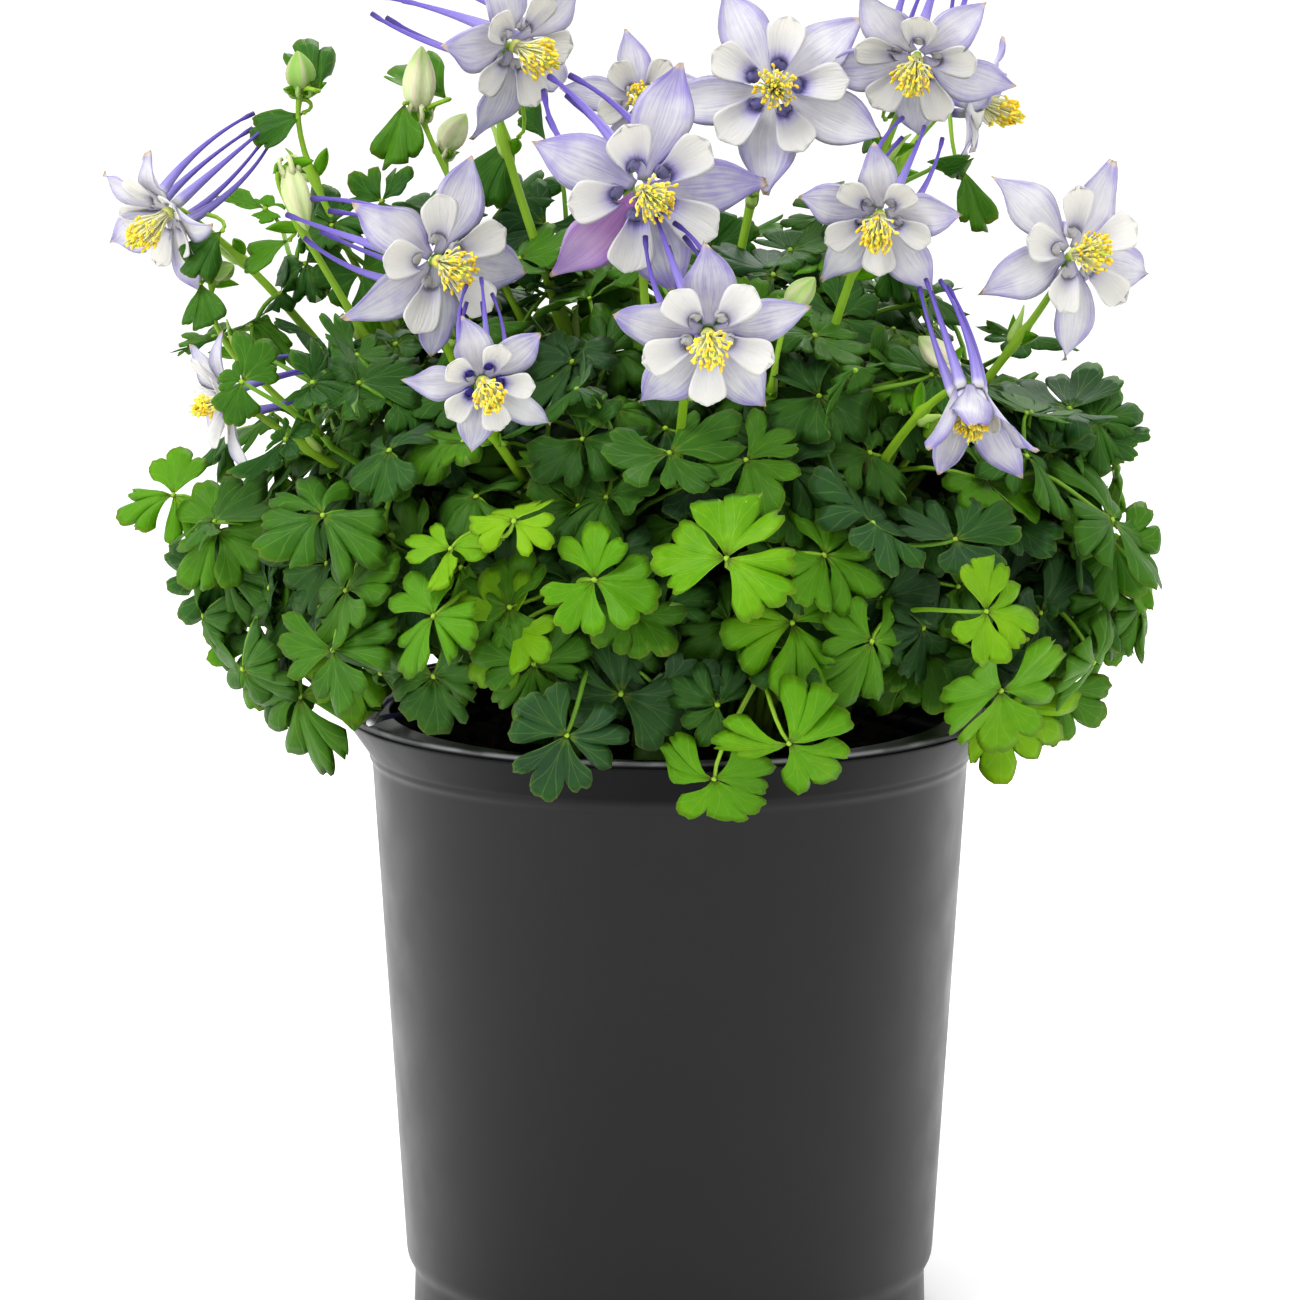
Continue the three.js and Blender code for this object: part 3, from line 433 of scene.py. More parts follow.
def add_sheet(piece, middle, thickness, slots, marks, trait):
    """A thin closed blade about a grid of points (rows, columns, 3): full in its middle and
    sharp at its border. slots are the materials of its upper and under side."""
    rows, columns = middle.shape[:2]
    normal = np.cross(np.gradient(middle, axis=0), np.gradient(middle, axis=1))
    normal /= np.maximum(np.linalg.norm(normal, axis=2, keepdims=True), 1e-9)
    half = np.zeros((rows, columns, 1))
    half[1:-1, 1:-1] = thickness / 2
    top = np.arange(rows * columns).reshape(rows, columns)
    bottom = top.copy()
    bottom[1:-1, 1:-1] = rows * columns + np.arange((rows - 2) * (columns - 2)).reshape(rows - 2, -1)

    def quads(grid):
        return np.stack([grid[:-1, :-1], grid[1:, :-1], grid[1:, 1:], grid[:-1, 1:]], -1).reshape(-1, 4)

    def both(upper, under):
        return np.concatenate([upper.reshape(-1, 3), under[1:-1, 1:-1].reshape(-1, 3)])

    piece.add(both(middle + normal * half, middle - normal * half), [quads(top), quads(bottom)[:, ::-1]],
              slots, both(marks, marks), trait)


def bezier(a, b, c, d, steps):
    t = np.linspace(0, 1, steps + 1)[:, None]
    return a * (1 - t) ** 3 + 3 * b * t * (1 - t) ** 2 + 3 * c * t ** 2 * (1 - t) + d * t ** 3


def ring_walls(grid):
    """Quads between the rings of points of a round form."""
    after = np.roll(grid, -1, axis=1)
    return np.stack([grid[:-1], after[:-1], after[1:], grid[1:]], -1).reshape(-1, 4)


def closed_rings(rings, sides):
    """Faces of rings of points that close in the two points after them, a foot and a tip."""
    grid = np.arange(rings * sides).reshape(rings, sides)
    after = np.roll(grid, -1, axis=1)
    foot = np.full(sides, rings * sides)
    return [ring_walls(grid), np.stack([foot, after[0], grid[0]], -1),
            np.stack([foot + 1, grid[-1], after[-1]], -1)]


def add_tube(piece, centres, radii, sides, slot, trait, flat=1.0):
    """A closed tube along points, with a radius at each. Its mark is (share of its length, angle)."""
    centres = np.asarray(centres, float)
    n = len(centres)
    along = np.gradient(centres, axis=0)
    along /= np.linalg.norm(along, axis=1, keepdims=True)
    side = np.cross(along[0], vec(0.31, 0.94, 0.12))
    angles = ring_angles(sides)
    rings = []
    for centre, radius, way in zip(centres, radii, along):
        side = level(side, way)
        ring = np.outer(np.cos(angles), side) + np.outer(flat * np.sin(angles), np.cross(way, side))
        rings.append(centre + radius * ring)
    grid = np.arange(n * sides).reshape(n, sides)
    marks = marked(np.repeat(np.linspace(0, 1, n), sides), np.tile(angles, n))
    piece.add(np.concatenate(rings), [ring_walls(grid), grid[:1, ::-1], grid[-1:]], slot, marks, trait)


def add_blob(piece, centre, axes, slot, trait, sides=6, rings=4, profile=None):
    """A small closed egg. axes are its three half axes, the last from its foot to its tip, and
    profile(t, angle) scales its girth."""
    turns = ring_angles(sides)
    climbs = np.linspace(0, math.pi, rings + 1)[1:-1]
    rows = []
    for climb in climbs:
        girth = profile((1 - math.cos(climb)) / 2, turns) if profile else math.sin(climb)
        rows.append(centre + np.outer(girth * np.cos(turns), axes[0])
                    + np.outer(girth * np.sin(turns), axes[1]) - math.cos(climb) * axes[2])
    share = np.repeat((1 - np.cos(climbs)) / 2, sides)
    marks = marked([*share, 0, 1], [*np.tile(turns, len(climbs)), 0, 0])
    piece.add(np.concatenate([*rows, [centre - axes[2]], [centre + axes[2]]]),
              closed_rings(len(climbs), sides), slot, marks, trait)


# ---- Leaves ----
# One leaflet is a fan of rays from its foot. Two narrow cuts part it into three round lobes,
# and each lobe has two or three shallow scallops.
UPPER, UNDER, STEM, BUD = range(4)      # a shoot's materials


def leaflet_outline(fine, single):
    """Where each ray of a leaflet lies, from -1 to 1, how far it reaches, in leaflet lengths, and
    its place in its lobe, from -1 to 1. The rays crowd at the cuts, so that these are narrow. A
    single leaflet is almost whole."""
    rays = np.linspace(-1.5, 1.5, 37 if fine else 19)
    lobe = np.clip(np.round(rays), -1, 1).astype(int)
    inside = np.sin(math.pi * (rays - lobe))
    across = (lobe + inside / 2) / 1.5
    depth = chance.uniform(0.1, 0.34, 4) * (0.25 if single else 1)
    depth[[0, 3]] = chance.uniform(0.2, 0.36, 2) + (0.16 if single else 0)
    top = np.array([chance.uniform(0.82, 0.93), 1, chance.uniform(0.82, 0.93)])
    border = np.where(inside < 0, lobe + 1, lobe + 2)
    reach = top[lobe + 1] - depth[border] * np.abs(inside) ** chance.uniform(1.8, 3)
    scallops = chance.randint(2, 4, 3)[lobe + 1] * math.pi * (inside + 1) / 2
    size = chance.uniform(0.03, 0.09, 3)[lobe + 1] * (0.5 if single else 1)
    reach -= size * (1 - np.abs(np.sin(scallops)) ** 0.7) * (1 - 0.8 * inside ** 2)
    return across, reach, inside


def leaflet(length, turn, fine, fold, single):
    """The grid of one leaflet in its spray's frame: across, along and up."""
    across, reach, inside = leaflet_outline(fine, single)
    r = np.linspace(0, 1, 6 if fine else 4)[:, None] ** 0.8
    half_angle = chance.uniform(47, 57) * (0.7 if single else 1)
    angle = np.radians(across * half_angle * (0.68 + 0.32 * r))
    foot = 0.03
    radius = length * (foot + r * (reach - foot))
    x = radius * np.sin(angle)
    y = radius * np.cos(angle)
    lobes = np.cos(inside * math.pi / 2) ** 2
    wave = np.sin(across * chance.uniform(3, 7) + chance.rand() * 6)
    arch = chance.uniform(-0.42, 0.08)
    z = length * (r ** 2 * (arch + 0.05 * lobes + 0.065 * wave) + fold * np.abs(across) * r)
    z = z + length * 0.02 * np.sin(9 * x / length + 5 * chance.rand()) * np.sin(8 * y / length)
    z = z + y * math.tan(math.radians(vary(15))) + x * math.tan(math.radians(vary(20)))
    turn = turn + vary(8)
    grid = np.stack([x * cosine(turn) + y * sine(turn), y * cosine(turn) - x * sine(turn), z], -1)
    return grid, marked(across, r)


def extent(points):
    """The diagonal of the points' box."""
    return np.linalg.norm(points.max(0) - points.min(0))


def add_spray(piece, spray, fine=True, placed=place):
    """Three leaflets, or a single one, round their hub. placed bends their points to keep clear."""
    hub = spray.hub
    normal = unit(spray.normal + vec(*vary(0.28, 3)) + vec(0, -spray.front, 0))
    along = level(spray.along, normal)
    across = np.cross(along, normal)
    tone = float(np.clip(spray.tone + vary(0.06), 0, 1))
    fine = fine and spray.length > FINE_LENGTH
    for turn in (0,) if spray.single else (-LEAFLET_TURN, 0, LEAFLET_TURN):
        length = spray.length * (1.12 if turn == 0 else 1.02) * (1 + vary(0.08))
        grid, marks = leaflet(length, turn, fine, spray.fold + vary(0.05), spray.single)
        world = hub + grid.reshape(-1, 3) @ np.stack([across, along, normal])
        stretch = extent(placed(world)) / extent(world)
        if stretch > MOST_STRETCH:
            world = hub + (world - hub) / stretch ** 2
        world = placed(world).reshape(grid.shape)
        # The third number is how near the mound's surface the hub lies, and it sets the leaves' painted
        # shade.
        trait = (float(np.clip(tone + vary(0.05), 0, 1)), chance.rand(), openness(hub))
        add_sheet(piece, world[:, ::-1], LEAF_THICK, (UPPER, UNDER), marks[:, ::-1], trait)
    add_blob(piece, placed(hub)[0], (along * 0.8, across * 0.8, normal * 0.6), STEM, (0.9, 0.5, 0.5))


def spray_frame(hub, turn, length=0, tone=0, spread=layout.spread):
    """A spray on the mound, leaning to the light. Its middle leaflet points turn degrees from
    downhill."""
    outward = mound_normal(hub)
    flat = math.hypot(outward[0], outward[1])
    down = vec(outward[0], outward[1], 0) / (flat or 1) * outward[2] - UP * flat
    along = down * cosine(turn) + np.cross(outward, down) * sine(turn)
    normal = unit(outward + 0.3 * UP + vec(spread(0.14), spread(0.14), spread(0.14)))
    return SimpleNamespace(hub=hub, normal=normal, along=level(along, normal), length=length, tone=tone,
                           fold=0.06, front=0, single=False)


def leaf_at(azimuth, elevation, turn):
    """A compound leaf of three sprays on the mound."""
    middle = on_mound(azimuth, elevation)
    sprays = []
    for swing in (0, 125, -125):
        along = spray_frame(middle, turn + swing).along
        hub = in_mound(middle + along * (SPRAY_OFFSET + layout.spread(3)))
        hub = unit(hub) * vec(MOUND_X, MOUND_Y, mound_rise(hub[2])) + UP * MOUND_MIDDLE
        spray = spray_frame(hub, turn + swing + layout.spread(25))
        spray.length = (LOW_LEAFLET if hub[2] < HIGH_LEAVES else HIGH_LEAFLET) + layout.spread(2)
        spray.tone = chance.uniform(0.15, 0.62)
        sprays.append(spray)
    return sprays


def is_free(spray, hubs):
    """Whether a hidden spray is above the rim and clear of the front's hubs and the blooms."""
    return (spray.hub[2] > POT_HEIGHT
            and all(np.linalg.norm(hub - spray.hub) > SPRAY_OFFSET - 1 for hub in hubs)
            and all(np.linalg.norm(centre - spray.hub) > radius * 0.9 for centre, radius in ROOMS))


def layer(sprays):
    """Sinks each spray below its placed neighbours, to the layer where it crosses the fewest."""
    for i, spray in enumerate(sprays):
        crossed = [0.0] * len(LAYERS)
        for other in sprays[:i]:
            apart = np.linalg.norm(other.seat - spray.hub)
            crossed[other.layer] += max(0, 1 - apart / (other.length + spray.length))
        spray.layer = crossed.index(min(crossed))
        spray.seat = spray.hub
        spray.hub = spray.hub - mound_normal(spray.hub) * LAYERS[spray.layer]


def compound_leaves():
    """The leaves of the mound's surface, as the CAD solids have them."""
    leaves = []
    for sprays in FRONT_LEAVES:
        leaf = []
        for azimuth, elevation, length, turn, tone in sprays:
            hub = on_mound(azimuth, elevation, 1.1 if elevation < -30 else 1)
            leaf.append(spray_frame(hub, turn, length, tone))
        leaves.append(leaf)
    hubs = [spray.hub for leaf in leaves for spray in leaf]
    hidden = []
    for shoot in OUTER:
        if BACK_SHOOTS[0] < shoot.middle < BACK_SHOOTS[1]:
            for row in BACK_ROWS:
                azimuth, elevation = shoot.middle + layout.spread(3), row + layout.spread(3)
                hidden.append(leaf_at(azimuth, elevation, layout.spread(50)))
    for elevation, count in TOP_RINGS:
        for i in range(count):
            azimuth = 360 * i / count + layout.spread(6)
            hidden.append(leaf_at(azimuth, elevation, layout.spread(60)))
    leaves += [[spray for spray in leaf if is_free(spray, hubs)] for leaf in hidden]
    sprays = [spray for leaf in leaves for spray in leaf]
    layer(sprays)
    for spray in sprays:
        if spray.tone > LIME_TONE:
            spray.hub = spray.hub + mound_normal(spray.hub) * LIME_RISE
    return [leaf for leaf in leaves if leaf]


def edge_leaves():
    """The leaves at the edges and among the flower stems, turned to the front."""
    leaves = []
    for sprays in EDGE_LEAVES + UPPER_LEAVES:
        leaf = []
        for x, y, z, length, turn, tone, *single in sprays:
            spray = spray_frame(vec(x, y, z), 0, length, tone, vary)
            spray.normal = unit(spray.normal * 0.5 + vec(0, -1, 0.35))
            spray.along = level(vec(sine(turn), 0, cosine(turn)), spray.normal)
            spray.single = bool(single)
            leaf.append(spray)
        leaves.append(leaf)
    return leaves


def inner_leaves():
    """Leaves deeper in the mound, which only the look has."""
    leaves = []
    for elevation, count, out in INNER_ROWS:
        for i in range(count):
            azimuth = (i + 0.5 + vary(0.35)) * 360 / count
            middle = on_mound(azimuth, elevation + vary(5), out + vary(0.04))
            leaf = []
            swing = vary(180)
            for turn in (0, 120, 240):
                along = spray_frame(middle, swing + turn, spread=vary).along
                hub = middle + along * chance.uniform(15, 21)
                length = chance.uniform(13, 17.5)
                spray = spray_frame(hub, swing + turn + vary(20), length, chance.uniform(0.05, 0.6), vary)
                spray.fold = 0.1
                if hub[2] > JOINT_LOWEST:
                    leaf.append(spray)
            if leaf:
                leaves.append(leaf)
    return leaves


# ---- Shoots ----
def new_shoot(name, crown, **more):
    """A shoot's piece, which starts with its crown in the soil."""
    shoot = SimpleNamespace(name=name, crown=crown, feet=0, piece=Piece("leaves_" + name), **more)
    low = crown - UP * 5
    add_tube(shoot.piece, [low, low + UP * 7, low + UP * 12, low + UP * 13.5], [6.8, 6.6, 5.4, 2], 14,
             STEM, (0.1, 0.5, 0))
    return shoot


OUTER = []
for i, (start, end) in enumerate(zip(BORDERS, [*BORDERS[1:], BORDERS[0] + 360]), 1):
    middle = (start + end) / 2
    crown = vec(CROWN_CIRCLE * sine(middle), -CROWN_CIRCLE * cosine(middle), SOIL_TOP)
    OUTER.append(new_shoot(str(i), crown, start=start, middle=middle))
MIDDLE = new_shoot("middle", vec(0, 0, SOIL_TOP))


def shoot_at(p):
    """The shoot that owns what grows at a point."""
    azimuth = math.degrees(math.atan2(p[0], -p[1]))
    if azimuth < BORDERS[0]:
        azimuth += 360
    if math.hypot(p[0], p[1]) < FUNNEL_RADIUS + FUNNEL_SLOPE * (p[2] - SOIL_TOP):
        return MIDDLE
    return [shoot for shoot in OUTER if azimuth >= shoot.start][-1]


def next_foot(shoot):
    """Where the next stalk stands on a shoot's crown."""
    r = FOOT_SPACING * math.sqrt(shoot.feet + 0.3)
    angle = shoot.feet * GOLDEN_ANGLE
    shoot.feet += 1
    return shoot.crown + vec(r * cosine(angle), r * sine(angle), 4)


def grow_leaf(leaf, fine=True, joint_depth=JOINT_DEPTH):
    """A compound leaf: its stalk from the crown, its side stalks and its sprays."""
    middle = np.mean([spray.hub for spray in leaf], axis=0)
    shoot = shoot_at(middle)
    piece = shoot.piece
    foot = next_foot(shoot)
    joint = middle - mound_normal(middle) * joint_depth
    joint[2] = max(joint[2], JOINT_LOWEST)
    bend = foot + (joint - foot) * 0.75
    bend[2] = max(joint[2] - 14, JOINT_LOWEST - 2)
    rise = foot + (joint - foot) * 0.15
    rise[2] = joint[2] * 0.5 + 95
    line = place(bezier(foot, rise, bend, joint, 10 if fine else 6))
    trait = (float(np.mean([spray.tone for spray in leaf])), chance.rand(), 0)
    add_tube(piece, line, np.linspace(1.25, 0.85, len(line)), 7 if fine else 5, STEM, trait)
    for spray in leaf:
        hub = place(spray.hub)[0]
        span = np.linalg.norm(hub - line[-1])
        out = line[-1] + unit(line[-1] - line[-2]) * span * 0.3
        into = hub - spray.along * span * 0.3 - spray.normal * span * 0.16
        side = bezier(line[-1], out, into, hub + spray.along * 0.8, 7 if fine else 4)
        add_tube(piece, side, np.linspace(0.8, 0.55, len(side)), 6 if fine else 4, STEM, trait)
        add_spray(piece, spray, fine)


# ---- Flower stems and buds ----
def bloom_point(flower, angle, reach, height, aside=0):
    """Points of a bloom, from an angle about its face, their reach, height and way aside."""
    cos, sin = cosine(angle), sine(angle)
    reach, height, aside = (np.asarray(value)[..., None] for value in (reach, height, aside))
    return (flower.at + flower.up * (reach * cos - aside * sin)
            + flower.right * (reach * sin + aside * cos) + flower.face * height)


def add_bud(piece, flower):
    """A closed bud: five keeled sepals about a pointed egg, with five short spurs behind."""
    half, wide = flower.half, flower.wide

    def girth(t, turns):
        swell = (math.sin(math.pi * min(1, t ** 0.8))) ** 0.75
        return swell * (0.84 + 0.24 * np.abs(np.cos(2.5 * turns)) ** 1.5)

    add_blob(piece, flower.at, (flower.up * wide, flower.right * wide, flower.face * half), BUD,
             (flower.ripe, chance.rand(), 0), 30, 12, girth)
    for k in range(5):
        hook = [bloom_point(flower, 72 * k + 36, wide * reach, -half * back)
                for reach, back in ((0.5, 0.72), (0.95, 1), (0.75, 1.3), (0.35, 1.22))]
        add_tube(piece, bezier(*hook, 6), np.linspace(0.9, 0.45, 7), 6, BUD, (flower.ripe, 0.5, 1))


def add_bract(piece, at, way, length, width, tone):
    """A small pointed leaf at a stem's joint or below a bud."""
    t = np.linspace(0, 1, 8)[:, None]
    u = np.linspace(-1, 1, 5)
    side = unit(np.cross(way, vec(0.1, 1, 0.2)))
    half = width * (np.sin(math.pi * t ** 0.75) ** 0.8 + 0.1 * (1 - t))
    bow = length * (0.16 * np.sin(math.pi * t) - 0.1 * t)
    grid = (at + way * (length * t)[..., None] + side * (half * u)[..., None]
            + np.cross(side, way) * (bow + 0.5 * width * u ** 2)[..., None])
    marks = marked(0.3 * u, 0.4 + 0.5 * t)
    add_sheet(piece, grid, BLADE_THICK, (UPPER, UNDER), marks, (tone, chance.rand(), 1))


def add_joint(piece, at, way):
    """A sheathed joint of a flower stem, with a bract to either side."""
    out = unit(np.cross(way, vec(*vary(1, 3))))
    sheath = [at + way * up + out * aside for up, aside in ((0, 1.1), (3, 2.4), (7, 3.4), (10, 5.5))]
    add_tube(piece, bezier(*sheath, 6), [1.3, 1.7, 1.5, 1.2, 0.8, 0.5, 0.2], 6, STEM, (0.9, 0.5, 0.8), 0.4)
    for swing in (1, -1):
        add_bract(piece, at, unit(way + out * swing + vec(*vary(0.3, 3))), chance.uniform(7, 11), 1.7, 0.7)


def add_stem_spray(piece, line, share, at, length, turn, trait):
    """A single leaflet on a stalk from a flower stem."""
    spray = spray_frame(vec(*at), turn, length * 1.15, chance.uniform(0.25, 0.5))
    spray.front = 1.2
    spray.single = True
    eased = (1 - (1 - share) ** 1.8) * STEM_STEPS
    low = min(int(eased), STEM_STEPS - 1)
    start = line[low] + (line[low + 1] - line[low]) * (eased - low)
    into = spray.hub - spray.along * length * 0.4
    side = bezier(start, start + (into - start) * 0.4 + UP * 2, into, spray.hub + spray.along * 0.6, 6)
    add_tube(piece, side, np.linspace(0.75, 0.5, 7), 6, STEM, trait)
    add_spray(piece, spray, placed=np.atleast_2d)


def grow_stem(flower, is_bud=False):
    """A flower stem from the crown to the back of its bloom, with joints, bracts and leaflets."""
    shoot = shoot_at(flower.at)
    piece = shoot.piece
    end = flower.at - flower.face * flower.back
    foot = next_foot(shoot)
    between = flower.turn + 72 * math.floor((180 - flower.turn) / 72 + 0.5)
    bend = bloom_point(flower, between, 13, -flower.back - 17) - UP * 9
    line = bezier(foot, foot + (end - foot) * 0.4 + UP * 30, bend, end, STEM_STEPS)
    t = np.linspace(0, 1, STEM_STEPS + 1)
    thick = flower.stem * (1 - 0.55 * t)
    joints = (0.46 + vary(0.04), 0.72 + vary(0.04))
    for joint in joints:
        thick = thick + 0.85 * np.exp(-((t - joint) / 0.022) ** 2)
    thick[-2:] += 0.25
    trait = (0.75, chance.rand(), 0.4)
    add_tube(piece, line, thick, 9, STEM, trait)
    for joint in joints:
        i = int(joint * STEM_STEPS)
        add_joint(piece, line[i], unit(line[i + 1] - line[i]))
    if is_bud:
        add_bud(piece, flower)
        way = unit(line[-1] - line[-3]) * 0.6
        for turn in (0, 130, 245):
            out = flower.up * cosine(turn) + flower.right * sine(turn)
            add_bract(piece, line[-2], unit(way + out), chance.uniform(6, 10), 1.5, 0.8)
    for owner, share, at, length, turn in STEM_SPRAYS:
        if owner is flower:
            add_stem_spray(piece, line, share, at, length, turn, trait)


# ---- Blooms ----
def curve_through(knots, t):
    """Smooth values at t through (place, value) knots."""
    places, values = np.array(knots).T
    slopes = np.gradient(values, places)
    i = np.clip(np.searchsorted(places, t) - 1, 0, len(knots) - 2)
    h = places[i + 1] - places[i]
    s = (t - places[i]) / h
    return (values[i] * (1 + 2 * s) * (1 - s) ** 2 + slopes[i] * h * s * (1 - s) ** 2
            + values[i + 1] * s ** 2 * (3 - 2 * s) - slopes[i + 1] * h * s ** 2 * (1 - s))


SEPAL_WIDTH = [(0, 0.045), (0.14, 0.08), (0.3, 0.18), (0.48, 0.24), (0.64, 0.225), (0.8, 0.145),
               (0.92, 0.055), (1, 0.006)]
PETAL_WIDTH = [(0, 0.16), (0.25, 0.168), (0.5, 0.19), (0.7, 0.2), (0.85, 0.183), (0.94, 0.14),
               (0.985, 0.08), (1, 0.03)]
PETAL_WRAP = [(0, 122), (0.2, 92), (0.45, 55), (0.75, 30), (1, 16)]


def gathered(flower, reach):
    """How far from the axis, in sizes, a foot of the bloom lies: nearer where the bloom is shut."""
    return 0.1 + (reach - 0.1) * (0.5 if flower.closed > SHUT else 1)


def add_sepal(piece, flower, angle):
    """A pointed sepal: narrow at its foot, waved at its edges and turned a little at its tip."""
    size = flower.size
    t = np.linspace(0, 1, 17)[:, None]
    u = np.linspace(-1, 1, 11)
    angle = angle + vary(7)
    length = size * (1 + vary(0.08))
    half = curve_through(SEPAL_WIDTH, t) * size * (1 + vary(0.12))
    bow, droop, twist, sway = 0.03 + vary(0.03), 0.08 + vary(0.18), vary(50), size * vary(0.1)
    reach = length * (0.06 + 0.94 * t)
    lift = length * (bow * np.sin(math.pi * t) - droop * t ** 2.5)
    phase, folds = chance.rand() * 6, chance.uniform(1.2, 2.2)
    turn = math.radians(twist) * t ** 2.5
    across = half * u
    cup = size * (0.07 * np.abs(u) ** 1.5 - 0.02) * np.sin(math.pi * t)
    cup = cup + size * 0.055 * t * np.sin(folds * math.pi * t * 2 + phase) * np.sign(u) * u ** 2
    aside = across * np.cos(turn) - cup * np.sin(turn) + sway * t ** 2
    lift = lift + across * np.sin(turn) + cup * np.cos(turn)
    shut = size * 0.14 if flower.closed > SHUT else 0
    out = shut + reach * cosine(flower.closed) - lift * sine(flower.closed)
    height = -BLOOM_BACK * 0.85 + reach * sine(flower.closed) + lift * cosine(flower.closed)
    grid = bloom_point(flower, angle, out, height, aside)
    tip = grid[-1, 5] - flower.at
    blush = flower.blush if tip[0] < -4 and tip[2] < -4 else 0
    trait = (float(np.clip(flower.violet + vary(0.12), 0, 1)), chance.rand(), blush)
    add_sheet(piece, grid[:, ::-1], BLADE_THICK, (0, 0), marked(u, t)[:, ::-1], trait)


def add_spur(piece, flower, angle):
    """A hollow-mouthed spur that tapers back from a petal's throat to its knobbed tip."""
    size = flower.size
    lean = vary(6)
    sway = vary(0.05)

    def at(reach, back):
        reach = gathered(flower, reach) + sway * back
        bend = flower.sweep * size * back ** 2
        return bloom_point(flower, angle + lean * back, size * reach, -size * back) + bend

    line = bezier(at(0.21, 0.03), at(0.36, 0.42), at(0.35, 0.92), at(0.175 + vary(0.05), 1.22), SPUR_STEPS)
    radii = 0.018 + 0.064 * (1 - np.linspace(0, 1, SPUR_STEPS + 1)) ** 2.2
    radii[:2] = 0.064, 0.07
    radii[-2:] += 0.01
    mouth = [line[0] + (line[1] - line[0]) * depth for depth in (1.6, 0.9, 0.35)]
    add_tube(piece, [*mouth, *line], size * np.array([0.02, 0.048, 0.06, *radii]), 10, 1,
             (0, chance.rand(), flower.throat))


def add_petal(piece, flower, angle):
    """A petal's blade: a scoop that wraps its spur's mouth and opens to a blunt tip."""
    size = flower.size
    v = np.sin(np.linspace(0, math.pi / 2, 14))[:, None]
    u = np.linspace(-1, 1, 13)
    rise = math.radians(PETAL_RISE + 0.8 * flower.closed + vary(5))
    length = size * (0.43 + vary(0.03))
    width = curve_through(PETAL_WIDTH, v) * size * (1 + vary(0.05))
    wrap = np.radians(curve_through(PETAL_WRAP, v))
    curl = vary(0.05) - 0.02
    lift = width / wrap * (1 - np.cos(u * wrap)) + size * curl * v ** 2
    ahead = length * v - size * 0.05 * v ** 4 * u ** 2
    tilt = rise + 0.5 * (1 - v)
    reach = size * gathered(flower, 0.26) + ahead * math.cos(rise) - lift * np.sin(tilt)
    height = size * -0.02 + ahead * math.sin(rise) + lift * np.cos(tilt)
    grid = bloom_point(flower, angle, reach, height, width / wrap * np.sin(u * wrap))
    add_sheet(piece, grid, PETAL_THICK, (0, 0), marked(u, v), (flower.throat, chance.rand(), 0))


def add_stamens(piece, flower):
    """Anthers on pale filaments round the green styles and the ovary."""
    spread = min(5.6, flower.size * 0.2) * flower.tuft
    for i in range(ANTHERS + STYLES):
        style = i >= ANTHERS
        share = math.sqrt((i % ANTHERS + 0.5) / ANTHERS)
        angle = i * GOLDEN_ANGLE + vary(12)
        reach = 1.3 if style else spread * share * (1 + vary(0.12))
        height = (12.8 - 5.2 * share ** 2 + vary(1.4) + (2.4 if style else 0)) * flower.tuft
        foot = bloom_point(flower, angle, 1.6 * share, 0.6)
        tip = bloom_point(flower, angle, reach, height)
        line = bezier(foot, foot + flower.face * height * 0.45, tip - flower.face * height * 0.25, tip, 5)
        add_tube(piece, line, np.linspace(0.3, 0.22, 6), 4, 1, (float(style), 0, 0))
        if not style:
            way = unit(tip - line[-2] + vec(*vary(0.9, 3)))
            side = unit(np.cross(way, flower.up))
            axes = (side * 0.42, np.cross(way, side) * 0.5, way * 1.05)
            add_blob(piece, tip + way * 0.6, axes, 0, (chance.rand(), 0, 0))
    axes = (flower.up * 1.9, flower.right * 1.9, flower.face * 1.8)
    add_blob(piece, bloom_point(flower, 0, 0, -0.4), axes, 1, (0.6, 0, 0), 12, 6)


# ---- Materials ----
def colour(text):
    """Linear colour of an sRGB hex text."""
    values = [int(text[i:i + 2], 16) / 255 for i in (0, 2, 4)]
    return tuple(v / 12.92 if v <= 0.04045 else ((v + 0.055) / 1.055) ** 2.4 for v in values) + (1.0,)


